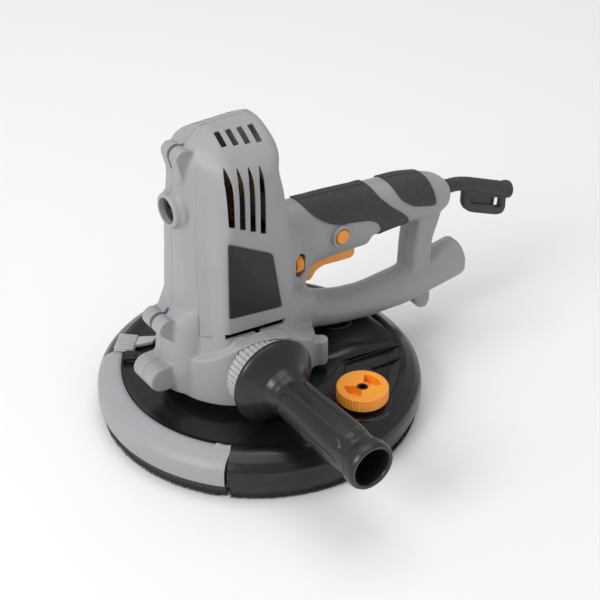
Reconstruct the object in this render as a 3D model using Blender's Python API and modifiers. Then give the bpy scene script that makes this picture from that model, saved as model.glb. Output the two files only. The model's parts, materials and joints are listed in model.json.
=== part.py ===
"""Hand-held disc sander for walls and ceilings, with a brush-edged dust shroud and a D-handle.

Metres, +Z up. The origin is where the disc's axis meets the sanding face. +X runs to the dust
outlet and the cord guard, -Y to the side handle. The housing's two shells part on the plane y = 0.
"""

import math

import bmesh
import bpy
from mathutils import Matrix, Vector

# Driving dimensions
GAP = 0.0003
WALL = 0.0026
DISC_RADIUS = 0.0900
RIM_RADIUS = 0.1200
RIM_BOTTOM = 0.0110
RIM_TOP = 0.0340
DECK_SHEET = 0.0026
FLAP_INNER_RADIUS = 0.1013
FLAP_HALF_ANGLE = math.radians(43.4)
FLAP_MIDDLE = math.radians(181.9)
BASE_CENTRE_X = -0.0190
BASE_RADIUS = 0.0560
BASE_BOTTOM = 0.0415
BASE_TOP = 0.0955
MOTOR_X = -0.0330
TOWER_HALF_WIDTH = 0.0400
BRUSH_CAP_Z = 0.1860
GEAR_MODULE = 0.0010
PINION_TEETH = 11
SPINDLE_TEETH = 55
HANDLE_X = -0.0310
HANDLE_Z = 0.0670
HANDLE_SEAT_Y = 0.0618
SPARE_SEAT_Y = 0.0570
HANDLE_END_Y = 0.1780
NOSE_X = -0.0600
NOSE_HALF_WIDTH = 0.0240
KNOB_X = 0.0310
KNOB_Y = -0.0850
OUTLET_END_X = 0.1830
OUTLET_RADIUS = 0.0160
TRIGGER_PIVOT_X = 0.0350
TRIGGER_PIVOT_Z = 0.1130
LOCK_X = 0.0595
LOCK_Z = 0.1290
DIAL_X = 0.0232
DIAL_Y = -0.0135
DIAL_Z = 0.1174
GUARD_Z = 0.1236
LATCH_ANGLE = math.radians(136.0)

X_AXIS = Matrix.Rotation(math.radians(90.0), 4, "Y")
MINUS_Y_AXIS = Matrix.Rotation(math.radians(90.0), 4, "X")
PLUS_Y_AXIS = Matrix.Rotation(math.radians(-90.0), 4, "X")
Z_AXIS = Matrix.Identity(4)

# (z, front x, rear x, half width, knee y, crease x, crease y, side start x, rear corner)
TOWER_SECTIONS = (
    (0.0600, -0.0765, 0.0070, 0.0412, 0.0160, -0.0563, 0.0360, -0.0500, 0.0100),
    (0.0980, -0.0722, 0.0065, 0.0400, 0.0150, -0.0563, 0.0350, -0.0500, 0.0100),
    (0.1500, -0.0699, 0.0055, 0.0400, 0.0130, -0.0570, 0.0310, -0.0495, 0.0110),
    (0.1940, -0.0680, 0.0005, 0.0399, 0.0090, -0.0554, 0.0262, -0.0445, 0.0124),
    (0.2120, -0.0655, -0.0022, 0.0388, 0.0080, -0.0540, 0.0240, -0.0425, 0.0130),
    (0.2200, -0.0635, 0.0000, 0.0350, 0.0075, -0.0525, 0.0225, -0.0415, 0.0120),
    (0.2260, -0.0605, 0.0010, 0.0290, 0.0065, -0.0505, 0.0190, -0.0410, 0.0110),
    (0.2310, -0.0570, 0.0004, 0.0222, 0.0055, -0.0485, 0.0145, -0.0405, 0.0090),
    (0.2350, -0.0530, -0.0003, 0.0150, 0.0040, -0.0465, 0.0098, -0.0400, 0.0070),
    (0.2388, -0.0485, -0.0022, 0.0075, 0.0020, -0.0440, 0.0045, -0.0390, 0.0040),
    (0.2415, -0.0450, -0.0080, 0.0030, 0.0008, -0.0425, 0.0018, -0.0380, 0.0020),
)

# (x, centre z, half width, half height) of the upper grip, nose to tail
GRIP_SECTIONS = (
    (-0.0060, 0.1300, 0.0180, 0.0240),
    (0.0100, 0.1290, 0.0190, 0.0290),
    (0.0320, 0.1305, 0.0190, 0.0275),
    (0.0500, 0.1310, 0.0185, 0.0252),
    (0.0800, 0.1290, 0.0180, 0.0240),
    (0.0880, 0.1282, 0.0177, 0.0238),
    (0.0920, 0.1308, 0.0175, 0.0210),
    (0.1050, 0.1305, 0.0170, 0.0197),
    (0.1250, 0.1295, 0.0168, 0.0188),
    (0.1420, 0.1265, 0.0165, 0.0182),
    (0.1560, 0.1240, 0.0155, 0.0160),
    (0.1640, 0.1232, 0.0135, 0.0125),
    (0.1680, 0.1230, 0.0100, 0.0085),
)

# (x, centre z, radius) of the dust arm, base to outlet
ARM_SECTIONS = (
    (0.0000, 0.0720, 0.0150),
    (0.0200, 0.0690, 0.0160),
    (0.0370, 0.0655, 0.0160),
    (0.0580, 0.0580, 0.0145),
    (0.0790, 0.0530, 0.0138),
    (0.1000, 0.0505, 0.0140),
    (0.1250, 0.0505, 0.0150),
    (0.1450, 0.0530, 0.0155),
    (0.1600, 0.0550, 0.0158),
    (OUTLET_END_X, 0.0580, OUTLET_RADIUS),
)

# (z, front x, rear x, half width) of the strut between arm and grip
STRUT_SECTIONS = (
    (0.0560, 0.1330, 0.1530, 0.0105),
    (0.0850, 0.1345, 0.1530, 0.0110),
    (0.1050, 0.1370, 0.1590, 0.0115),
    (0.1240, 0.1370, 0.1630, 0.0125),
)

# (x, z) of the gear case's top in side view, front to rear
BASE_TOP_LINE = (
    (-0.1200, 0.0500),
    (-0.0800, 0.0700),
    (-0.0680, 0.0765),
    (-0.0590, 0.0828),
    (-0.0474, 0.0920),
    (-0.0343, 0.0952),
    (-0.0270, BASE_TOP),
    (-0.0120, 0.0915),
    (0.0000, 0.0830),
    (0.0120, 0.0740),
    (0.0300, 0.0640),
    (0.0500, 0.0600),
    (0.0900, 0.0600),
)

# (z, reach) of the swelling that joins the two lower front bosses to the gear case
NOSE_SECTIONS = ((0.0440, 0.0200), (0.0640, 0.0240), (0.0780, 0.0222), (0.0900, 0.0210), (0.1020, 0.0195),
                 (0.1120, 0.0120))

PARTS = None
CUTTERS = None


def clear_scene():
    for existing in list(bpy.data.objects):
        bpy.data.objects.remove(existing, do_unlink=True)


def new_collection(name):
    collection = bpy.data.collections.new(name)
    bpy.context.scene.collection.children.link(collection)
    return collection


def material(name, colour, roughness, metallic=0.0):
    made = bpy.data.materials.new(name)
    made.use_nodes = True
    shader = made.node_tree.nodes["Principled BSDF"]
    shader.inputs["Base Color"].default_value = (*colour, 1.0)
    shader.inputs["Roughness"].default_value = roughness
    shader.inputs["Metallic"].default_value = metallic
    return made


def mesh_object(name, shape, finish=None, matrix=Z_AXIS):
    """An object from a bmesh: a part if it has a finish, or else a cutter."""
    bmesh.ops.recalc_face_normals(shape, faces=shape.faces)
    mesh = bpy.data.meshes.new(name)
    shape.to_mesh(mesh)
    shape.free()
    made = bpy.data.objects.new(name, mesh)
    made.matrix_world = matrix
    if finish is None:
        CUTTERS.objects.link(made)
        made.hide_render = True
        made.display_type = "WIRE"
    else:
        mesh.materials.append(finish)
        mesh.shade_smooth()
        mesh.set_sharp_from_angle(angle=math.radians(32.0))
        PARTS.objects.link(made)
    return made


def combine(target, other, operation, solver="EXACT"):
    step = target.modifiers.new(operation.lower(), "BOOLEAN")
    step.operation = operation
    step.object = other
    step.solver = solver


def cut(target, *cutters, solver="EXACT"):
    for cutter in cutters:
        combine(target, cutter, "DIFFERENCE", solver)


def join(target, *others, solver="EXACT"):
    for other in others:
        combine(target, other, "UNION", solver)


def frozen(source, name, finish=None):
    """The source with its modifiers applied, as a new object."""
    bpy.context.view_layer.update()
    graph = bpy.context.evaluated_depsgraph_get()
    mesh = bpy.data.meshes.new_from_object(source.evaluated_get(graph))
    shape = bmesh.new()
    shape.from_mesh(mesh)
    shape.transform(source.matrix_world)
    bmesh.ops.remove_doubles(shape, verts=shape.verts, dist=1e-6)
    bpy.data.meshes.remove(mesh)
    return mesh_object(name, shape, finish)


def loft(name, rings, finish=None, matrix=Z_AXIS):
    """A closed skin over rings that have the same number of points."""
    shape = bmesh.new()
    rows = [[shape.verts.new(point) for point in ring] for ring in rings]
    count = len(rows[0])
    for low, high in zip(rows, rows[1:]):
        for i in range(count):
            j = (i + 1) % count
            shape.faces.new((low[i], low[j], high[j], high[i]))
    shape.faces.new(rows[0])
    shape.faces.new(rows[-1])
    return mesh_object(name, shape, finish, matrix)


def turned(name, profile, finish=None, origin=(0, 0, 0), axis=Z_AXIS, steps=40, closed=False):
    """A profile of (radius, height) points turned about the axis by a Screw modifier."""
    area = 0.0
    for (r0, h0), (r1, h1) in zip(profile, list(profile[1:]) + [profile[0]]):
        area += r0 * h1 - r1 * h0
    points = list(profile) if area < 0 else list(reversed(profile))
    shape = bmesh.new()
    verts = [shape.verts.new((r, 0.0, h)) for r, h in points]
    for a, b in zip(verts, verts[1:]):
        shape.edges.new((a, b))
    if closed:
        shape.edges.new((verts[-1], verts[0]))
    made = mesh_object(name, shape, finish, Matrix.Translation(origin) @ axis)
    screw = made.modifiers.new("turn", "SCREW")
    screw.steps = steps
    screw.render_steps = steps
    screw.use_merge_vertices = True
    screw.merge_threshold = 0.00002
    screw.use_smooth_shade = True
    return made


def solid_turned(name, profile, finish=None, **place):
    """As turned, with the profile's two ends brought to the axis."""
    closed_profile = [(0.0, profile[0][1]), *profile, (0.0, profile[-1][1])]
    return turned(name, closed_profile, finish, **place)


def ring(name, inner, outer, low, high, finish=None, **place):
    corners = [(inner, low), (outer, low), (outer, high), (inner, high)]
    return turned(name, corners, finish, closed=True, **place)


def rod(name, radius, low, high, finish=None, origin=(0, 0, 0), axis=Z_AXIS, steps=40):
    """A cylinder along the axis, from low to high."""
    shape = bmesh.new()
    bmesh.ops.create_cone(shape, cap_ends=True, segments=steps, radius1=radius, radius2=radius,
                          depth=high - low)
    shape.transform(Matrix.Translation((0, 0, (low + high) / 2)))
    return mesh_object(name, shape, finish, Matrix.Translation(origin) @ axis)


def block(name, low, high, finish=None, bevel=0.0, matrix=Z_AXIS):
    low, high = Vector(low), Vector(high)
    shape = bmesh.new()
    bmesh.ops.create_cube(shape, size=1.0)
    middle = Matrix.Translation((low + high) / 2)
    shape.transform(middle @ Matrix.Diagonal((*(high - low), 1.0)))
    made = mesh_object(name, shape, finish, matrix)
    if bevel:
        edge = made.modifiers.new("edge", "BEVEL")
        edge.width = bevel
        edge.segments = 2
    return made


def prism(name, outline, low, high, finish=None, plane="XZ", matrix=Z_AXIS):
    """An outline in the XY or XZ plane, extruded along the third axis from low to high."""

    def corner(a, b, depth):
        return (a, depth, b) if plane == "XZ" else (a, b, depth)

    rings = [[corner(a, b, depth) for a, b in outline] for depth in (low, high)]
    return loft(name, rings, finish, matrix)


def arc(centre, radius, start, end, steps):
    """Points on an arc, angles in degrees."""
    points = []
    for i in range(steps + 1):
        angle = math.radians(start + (end - start) * i / steps)
        points.append((centre[0] + radius * math.cos(angle), centre[1] + radius * math.sin(angle)))
    return points


def sector(name, inner, outer, half_angle, centre_angle, low, high):
    """A prism over a ring sector, as a cutter."""
    start, end = centre_angle - half_angle, centre_angle + half_angle
    steps = 20
    outline = arc((0, 0), outer, math.degrees(start), math.degrees(end), steps)
    outline += arc((0, 0), inner, math.degrees(end), math.degrees(start), steps)
    return prism(name, outline, low, high, plane="XY")


# ---------------------------------------------------------------- housing


def tower_ring(section, inset=0.0):
    z, front, rear, width, knee, crease_x, crease_y, side_x, corner = section
    front, rear, width = front + inset, rear - inset, width - inset
    crease_x, crease_y = crease_x + 0.8 * inset, crease_y - 0.6 * inset
    half = [
        (front, 0.5 * knee),
        (front + 0.16 * (crease_x - front), knee),
        (crease_x, crease_y),
        (side_x - 0.3 * (side_x - crease_x), width - 0.2 * (width - crease_y)),
        (side_x, width),
        (rear - corner, width),
        (rear - 0.3 * corner, width - 0.3 * corner),
        (rear, width - corner),
    ]
    outline = [(x, -y) for x, y in half] + [(x, y) for x, y in reversed(half)]
    return [(x, y, z) for x, y in outline]


def oval_ring(x, centre_z, half_width, half_height, count=16, square=0.82):
    points = []
    for i in range(count):
        angle = 2 * math.pi * (i + 0.5) / count
        y = math.copysign(abs(math.cos(angle)) ** square, math.cos(angle)) * half_width
        z = math.copysign(abs(math.sin(angle)) ** square, math.sin(angle)) * half_height
        points.append((x, y, centre_z + z))
    return points


def nose_ring(z, reach):
    """A level oval that swells out of the gear case's front by the reach."""
    points = []
    for i in range(16):
        angle = 2 * math.pi * (i + 0.5) / 16
        points.append((NOSE_X + reach * math.cos(angle), NOSE_HALF_WIDTH * math.sin(angle), z))
    return points


def strut_ring(z, front, rear, width):
    c = 0.3 * width
    half = [(front, width - c), (front + c, width), (rear - c, width), (rear, width - c)]
    outline = [(x, -y) for x, y in half] + [(x, y) for x, y in reversed(half)]
    return [(x, y, z) for x, y in outline]


def grip_loft(name, grow=0.0, end_grow=0.0):
    rings = [oval_ring(x, z, w + grow, h + grow) for x, z, w, h in GRIP_SECTIONS]
    rings[-1] = [(x + end_grow, y, z) for x, y, z in rings[-1]]
    return loft(name, rings)


def arm_loft(name, grow=0.0, sections=ARM_SECTIONS):
    rings = [oval_ring(x, z, r + grow, r + grow, 16, 1.0) for x, z, r in sections]
    return loft(name, rings)


def boss_along_y(name, x, z, radius, half_length, steps=14):
    return rod(name, radius, -half_length, half_length, origin=(x, 0, z), axis=PLUS_Y_AXIS, steps=steps)


def spine_outline():
    """The web on the parting plane that carries the three front screw bosses."""
    return [
        (-0.0600, 0.2300),
        (-0.0655, 0.2200),
        (-0.0660, 0.2080),
        (-0.0610, 0.2080),
        (-0.0610, 0.1120),
        (-0.0715, 0.1120),
        (-0.0815, 0.1010),
        (-0.0830, 0.0780),
        (-0.0900, 0.0640),
        (-0.0840, 0.0530),
        (-0.0600, 0.0530),
        (-0.0400, 0.0800),
        (-0.0400, 0.2000),
    ]


def sloped_base(name, inset=0.0, bottom=BASE_BOTTOM):
    """The round gear case, whose top falls away to the front and to the rear."""
    case = rod(name, BASE_RADIUS - inset, bottom, BASE_TOP + 0.0050, origin=(BASE_CENTRE_X, 0, 0), steps=40)
    outline = [(x, z - inset) for x, z in BASE_TOP_LINE] + [(0.0900, 0.1300), (-0.1200, 0.1300)]
    cut(case, prism(f"{name}_slope", outline, -0.0800, 0.0800), solver="MANIFOLD")
    return case


def housing_outer():
    tower = loft("outer_tower", [tower_ring(section) for section in TOWER_SECTIONS])
    pieces = [
        sloped_base("outer_base"),
        grip_loft("outer_grip"),
        arm_loft("outer_arm"),
        loft("outer_strut", [strut_ring(*section) for section in STRUT_SECTIONS]),
        loft("outer_root", [strut_ring(*s) for s in (
            (0.0600, -0.0100, 0.0300, 0.0160), (0.0850, -0.0100, 0.0300, 0.0170),
            (0.1100, -0.0100, 0.0360, 0.0180))]),
        loft("outer_foot", [strut_ring(*s) for s in (
            (0.0233, 0.1480, 0.1560, 0.0050), (0.0300, 0.1420, 0.1575, 0.0068),
            (0.0480, 0.1350, 0.1560, 0.0075))]),
        prism("outer_spine", spine_outline(), -0.0095, 0.0095),
        loft("outer_nose", [nose_ring(z, reach) for z, reach in NOSE_SECTIONS]),
        boss_along_y("outer_boss_top", -0.0625, 0.2265, 0.0062, 0.0100),
        boss_along_y("outer_boss_mid", -0.0826, 0.1005, 0.0068, 0.0120),
        boss_along_y("outer_boss_low", -0.0905, 0.0610, 0.0088, 0.0125),
        rod("outer_handle_boss", 0.0220, 0.0, 0.0560,
            origin=(HANDLE_X, 0, HANDLE_Z), axis=MINUS_Y_AXIS, steps=24),
        rod("outer_spare_boss", 0.0140, 0.0, SPARE_SEAT_Y,
            origin=(HANDLE_X, 0, HANDLE_Z), axis=PLUS_Y_AXIS, steps=24),
        rod("outer_cap_front", 0.0135, 0.0300, 0.0392,
            origin=(MOTOR_X, 0, BRUSH_CAP_Z), axis=X_AXIS @ Matrix.Rotation(math.pi, 4, "Y"), steps=20),
        rod("outer_cap_rear", 0.0135, 0.0300, 0.0430,
            origin=(MOTOR_X, 0, BRUSH_CAP_Z), axis=X_AXIS, steps=20),
        rod("outer_lock_ring", 0.0085, 0.0120, 0.0205,
            origin=(LOCK_X, 0, LOCK_Z), axis=MINUS_Y_AXIS, steps=24),
    ]
    for side in (-1, 1):
        low, high = sorted((side * 0.0300, side * 0.0400))
        pieces.append(rod(f"outer_column_{side}", 0.0052, BASE_BOTTOM, 0.0625,
                          origin=(0.0290, side * 0.0370, 0), steps=16))
        pieces.append(block(f"outer_column_web_{side}", (0.0100, low, BASE_BOTTOM), (0.0290, high, 0.0620)))
    join(tower, *pieces, solver="MANIFOLD")
    return tower


def housing_cavity():
    tower = loft("inner_tower", [tower_ring(section, WALL) for section in TOWER_SECTIONS[:-2]])
    arm_inner = [(x, z, r - WALL) for x, z, r in ARM_SECTIONS[3:]]
    arm_inner[-1] = (OUTLET_END_X + 0.001, 0.0581, OUTLET_RADIUS - WALL)
    grip_inner = [oval_ring(x, z, w - WALL, h - WALL, 10) for x, z, w, h in GRIP_SECTIONS[:-1]]
    grip_inner[-1] = oval_ring(0.1615, 0.1234, 0.0115, 0.0105, 10)
    pieces = [
        sloped_base("inner_base", WALL, 0.0400),
        loft("inner_grip", grip_inner),
        loft("inner_arm", [oval_ring(x, z, r, r, 12, 1.0) for x, z, r in arm_inner]),
    ]
    join(tower, *pieces, solver="MANIFOLD")
    return tower


def vent_cutters():
    """Four tall slots in each side face and four short ones across each shoulder of the top."""
    cutters = []
    for i in range(4):
        x = -0.0454 + 0.0081 * i
        top, low = 0.2260 - 0.0017 * i, 0.1830 - 0.0045 * i
        half = 0.0021
        outline = [(x - half, low), (x + half, low - 0.002), (x + half, top - 0.020),
                   (x + 0.3 * half, top - 0.004), (x - 0.6 * half, top), (x - half, top - 0.010)]
        cutters.append(prism(f"slot_tall_{i}", outline, -0.0600, 0.0600))
    for i in range(4):
        x = -0.0365 + 0.0083 * i
        for side in (-1, 1):
            low, high = sorted((side * (0.0088 + 0.0007 * i), side * (0.0181 + 0.0013 * i)))
            cutters.append(block(f"slot_top_{i}_{side}", (x - 0.0022, low, 0.2200),
                                 (x + 0.0022, high, 0.2500)))
    for side in (-1, 1):
        low, high = sorted((side * 0.0360, side * 0.0440))
        outline = [(-0.0420, 0.0975), (-0.0050, 0.0975), (-0.0050, 0.0990), (-0.0530, 0.1025),
                   (-0.0530, 0.0985)]
        cutters.append(prism(f"slot_exhaust_{side}", outline, low, high))
    return cutters


def opening_cutters():
    """Holes for the controls, the brush caps, the side handle's stud and the cord guard."""
    flip = Matrix.Rotation(math.pi, 4, "Y")
    window = [(DIAL_X - 0.0036, DIAL_Z - 0.0070), (DIAL_X, DIAL_Z - 0.0098),
              (DIAL_X + 0.0036, DIAL_Z - 0.0070), (DIAL_X + 0.0036, DIAL_Z + 0.0070),
              (DIAL_X, DIAL_Z + 0.0098), (DIAL_X - 0.0036, DIAL_Z + 0.0070)]
    return [
        block("hole_trigger", (0.0345, -0.0090, 0.0980), (0.0822, 0.0090, 0.1160)),
        prism("hole_dial", window, -0.0300, -0.0100),
        block("pocket_dial", (DIAL_X - 0.0034, -0.0176, DIAL_Z - 0.0090),
              (DIAL_X + 0.0034, -0.0080, DIAL_Z + 0.0090)),
        rod("hole_lock", 0.0058, 0.0100, 0.0300, origin=(LOCK_X, 0, LOCK_Z), axis=MINUS_Y_AXIS, steps=24),
        rod("hole_cap_front", 0.0092, 0.0280, 0.0600, origin=(MOTOR_X, 0, BRUSH_CAP_Z),
            axis=X_AXIS @ flip, steps=24),
        rod("hole_cap_rear", 0.0092, 0.0280, 0.0600, origin=(MOTOR_X, 0, BRUSH_CAP_Z),
            axis=X_AXIS, steps=24),
        rod("hole_guard", 0.0066, 0.1500, 0.1750, origin=(0, 0, GUARD_Z), axis=X_AXIS, steps=20),
        rod("hole_stud", 0.0044, -0.0600, 0.0600, origin=(HANDLE_X, 0, HANDLE_Z),
            axis=PLUS_Y_AXIS, steps=16),
        block("gap_boss_top", (-0.0800, -0.0016, 0.2170), (-0.0590, 0.0016, 0.2400)),
        block("gap_boss_mid", (-0.0960, -0.0016, 0.0920), (-0.0760, 0.0016, 0.1090)),
    ]


def screw_holes():
    holes = []
    for name, x, z, head, half in CLAMSHELL_SCREWS:
        holes.append(rod(f"hole_{name}", 0.0018, -0.0085, 0.0200,
                         origin=(x, 0, z), axis=PLUS_Y_AXIS, steps=8))
        holes.append(rod(f"sink_{name}", head + 0.0006, half - 0.0040, half + 0.0100,
                         origin=(x, 0, z), axis=PLUS_Y_AXIS, steps=10))
    return holes


# (name, x, z, head radius, half length of the boss)
CLAMSHELL_SCREWS = (
    ("screw_top", -0.0630, 0.2265, 0.0030, 0.0100),
    ("screw_mid", -0.0835, 0.1005, 0.0030, 0.0120),
    ("screw_low", -0.0915, 0.0600, 0.0032, 0.0125),
    ("screw_strut", 0.1465, 0.1000, 0.0030, 0.0113),
)


def build_housing(grey):
    shell = housing_outer()
    cut(shell, housing_cavity(), solver="MANIFOLD")
    shelf = [tower_ring(section, 0.0010) for section in (
        (0.2030, *TOWER_SECTIONS[4][1:]), (0.2090, *TOWER_SECTIONS[4][1:]))]
    join(shell, loft("top_bearing_shelf", shelf), solver="MANIFOLD")
    bore = rod("hole_top_bearing", 0.0098, 0.1900, 0.2150, origin=(MOTOR_X, 0, 0), steps=24)
    cut(shell, bore, *vent_cutters(), *opening_cutters(), *screw_holes(), solver="MANIFOLD")
    whole = frozen(shell, "housing_whole")
    for name, low, high in (("housing_left", -0.2, -GAP / 2), ("housing_right", GAP / 2, 0.2)):
        half = frozen(whole, name, grey)
        keep = block(f"keep_{name}", (-0.3, low, -0.1), (0.4, high, 0.4))
        combine(half, keep, "INTERSECT", "MANIFOLD")


def build_clamshell_screws(steel):
    for name, x, z, head, half in CLAMSHELL_SCREWS:
        seat = half - 0.0040
        profile = [(0.0014, -0.0078), (0.0014, seat + 0.0002), (head, seat + 0.0002),
                   (head, seat + 0.0018), (0.7 * head, seat + 0.0024)]
        solid_turned(name, profile, steel, origin=(x, 0, z), axis=PLUS_Y_AXIS, steps=12)


def build_badges(dark):
    outline = [(-0.0505, 0.1125), (-0.0070, 0.1065), (-0.0145, 0.1525), (-0.0500, 0.1725)]
    y = TOWER_HALF_WIDTH + GAP
    prism("badge_left", outline, -y - 0.0011, -y, dark)
    prism("badge_right", outline, y, y + 0.0011, dark)


def build_grip_pads(rubber):
    """Overmoulded grip panels: a thin skin over the grip, trimmed to two outlines on each side."""
    front = [(0.0310, 0.1620), (0.0360, 0.1540), (0.0430, 0.1470), (0.0500, 0.1420), (0.0570, 0.1390),
             (0.0700, 0.1365), (0.0850, 0.1330), (0.0930, 0.1280), (0.0990, 0.1180), (0.1010, 0.1080),
             (0.1240, 0.1080), (0.1250, 0.1160), (0.1210, 0.1235), (0.1060, 0.1365), (0.0960, 0.1470),
             (0.0900, 0.1640)]
    rear = [(0.1090, 0.1640), (0.1115, 0.1480), (0.1155, 0.1385), (0.1258, 0.1303), (0.1400, 0.1255),
            (0.1490, 0.1235), (0.1475, 0.1310), (0.1450, 0.1420), (0.1480, 0.1640)]
    skin = grip_loft("skin_outer", 0.0011)
    cut(skin, grip_loft("skin_inner", GAP))
    skin = frozen(skin, "skin")
    for place, outline in (("front", front), ("rear", rear)):
        for side, low, high in (("left", -0.03, -0.0006), ("right", 0.0006, 0.03)):
            pad = frozen(skin, f"grip_pad_{place}_{side}", rubber)
            trim = prism(f"trim_{place}_{side}", outline, low, high)
            combine(pad, trim, "INTERSECT")


# ---------------------------------------------------------------- controls


def build_trigger(orange):
    outline = [(0.0358, 0.1085), (0.0358, 0.0960), (0.0400, 0.0940), (0.0445, 0.0990),
               (0.0500, 0.1015), (0.0765, 0.0995), (0.0800, 0.1012), (0.0803, 0.1090),
               (0.0500, 0.1150), (0.0380, 0.1150)]
    outline = [(x - TRIGGER_PIVOT_X, z - TRIGGER_PIVOT_Z) for x, z in outline]
    prism("trigger", outline, -0.0080, 0.0080, orange,
          matrix=Matrix.Translation((TRIGGER_PIVOT_X, 0, TRIGGER_PIVOT_Z)))


def build_switchgear(dark, board):
    block("switch_module", (0.0400, -0.0100, 0.1225), (0.0800, 0.0100, 0.1420), dark, 0.0010)
    block("speed_board", (0.0080, 0.0020, 0.1100), (0.0340, 0.0036, 0.1400), board)
    block("cord_clamp", (0.1440, -0.0070, 0.1290), (0.1540, 0.0070, 0.1330), dark, 0.0008)


def build_lock_button(orange):
    profile = [(0.0050, 0.0145), (0.0054, 0.0150), (0.0054, 0.0212), (0.0046, 0.0220)]
    solid_turned("lock_button", profile, orange, origin=(LOCK_X, 0, LOCK_Z),
                 axis=MINUS_Y_AXIS, steps=20)


def wheel_outline(radius, teeth, depth):
    points = []
    for i in range(2 * teeth):
        angle = math.pi * i / teeth
        r = radius if i % 2 == 0 else radius - depth
        points.append((r * math.cos(angle), r * math.sin(angle)))
    return points


def build_speed_dial(orange):
    matrix = Matrix.Translation((DIAL_X, DIAL_Y, DIAL_Z)) @ X_AXIS
    prism("speed_dial", wheel_outline(0.0073, 18, 0.0005), -0.0025, 0.0025, orange, "XY", matrix)


def guard_path():
    """Centre line of the cord guard: (x, z, radius)."""
    return [
        (0.1560, GUARD_Z, 0.0082), (0.1590, GUARD_Z, 0.0082), (0.1592, GUARD_Z, 0.0060),
        (0.1700, GUARD_Z, 0.0060), (0.1790, 0.1230, 0.0061), (0.1900, 0.1200, 0.0062),
        (0.2010, 0.1155, 0.0063), (0.2140, 0.1098, 0.0064), (0.2270, 0.1040, 0.0066),
        (0.2310, 0.1022, 0.0078), (0.2350, 0.1003, 0.0080),
    ]


def tube_rings(path, count=12):
    """Rings across a path in the XZ plane, each square to the path."""
    rings = []
    for i, (x, z, radius) in enumerate(path):
        before, after = path[max(i - 1, 0)], path[min(i + 1, len(path) - 1)]
        along = Vector((after[0] - before[0], 0, after[1] - before[1])).normalized()
        up = Vector((-along.z, 0, along.x))
        side = Vector((0, 1, 0))
        rings.append([
            Vector((x, 0, z)) + radius * (math.cos(a) * side + math.sin(a) * up)
            for a in (2 * math.pi * k / count for k in range(count))
        ])
    return rings


def build_cord_guard(rubber):
    """Strain relief with a key holder moulded under it. Its bore is open at both ends."""
    path = guard_path()
    guard = loft("cord_guard", tube_rings(path), rubber)
    plate = [(0.1890, 0.1195), (0.1885, 0.1030), (0.1920, 0.0965), (0.1975, 0.0930), (0.2235, 0.0818),
             (0.2300, 0.0812), (0.2325, 0.0850), (0.2325, 0.0985), (0.2270, 0.1040)]
    eye = [(0.2200, 0.0990), (0.2195, 0.0905), (0.2275, 0.0872), (0.2280, 0.0960)]
    groove = [(0.1950, 0.1085), (0.1950, 0.1020), (0.2185, 0.0925), (0.2185, 0.0990)]
    holder = prism("key_holder", plate, -0.0026, 0.0026)
    slot = prism("key_slot", eye, -0.0100, 0.0100)
    groove_left = prism("key_groove_left", groove, -0.0100, -0.0012)
    groove_right = prism("key_groove_right", groove, 0.0012, 0.0100)
    bore_path = [(x, z, 0.0037) for x, z, radius in path]
    bore_path[0] = (path[0][0] - 0.002, path[0][1], 0.0037)
    bore_path[-1] = (path[-1][0] + 0.002, path[-1][1] - 0.001, 0.0037)
    join(guard, holder)
    cut(guard, slot, groove_left, groove_right, loft("guard_bore", tube_rings(bore_path, 10)))


# ---------------------------------------------------------------- motor and gears


def bearing(name, inner, outer, low, high, steel, x=0.0):
    ring(name, inner, outer, low, high, steel, origin=(x, 0, 0), steps=20)


def gear_outline(teeth, phase=0.0):
    """A stub-tooth outline with backlash: root and tip points on each flank."""
    pitch = GEAR_MODULE * teeth / 2
    levels = ((pitch - 1.10 * GEAR_MODULE, 0.62), (pitch + 0.75 * GEAR_MODULE, 0.20))
    points = []
    for i in range(teeth):
        centre = phase + 2 * math.pi * i / teeth
        half_pitch = math.pi / teeth
        for radius, share in levels:
            angle = centre - share * half_pitch
            points.append((radius * math.cos(angle), radius * math.sin(angle)))
        for radius, share in reversed(levels):
            angle = centre + share * half_pitch
            points.append((radius * math.cos(angle), radius * math.sin(angle)))
    return points


def build_gears(steel, dark_steel):
    gear = prism("spindle_gear", gear_outline(SPINDLE_TEETH), 0.0520, 0.0600, dark_steel, "XY")
    cut(gear, rod("gear_bore", 0.0060, 0.0500, 0.0620, steps=20))
    pinion = prism("pinion", gear_outline(PINION_TEETH), 0.0515, 0.0610, steel, "XY",
                   Matrix.Translation((MOTOR_X, 0, 0)))
    cut(pinion, rod("pinion_bore", 0.0033, 0.0500, 0.0620, origin=(MOTOR_X, 0, 0), steps=16))


def build_spindle(steel):
    profile = [(0.0050, 0.0135), (0.0050, 0.0240), (0.0057, 0.0245), (0.0057, 0.0610), (0.0048, 0.0615),
               (0.0048, 0.0710)]
    solid_turned("spindle", profile, steel, steps=24)
    bearing("spindle_bearing_low", 0.0058, 0.0130, 0.0432, 0.0495, steel)
    bearing("spindle_bearing_top", 0.0049, 0.0096, 0.0662, 0.0705, steel)


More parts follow.
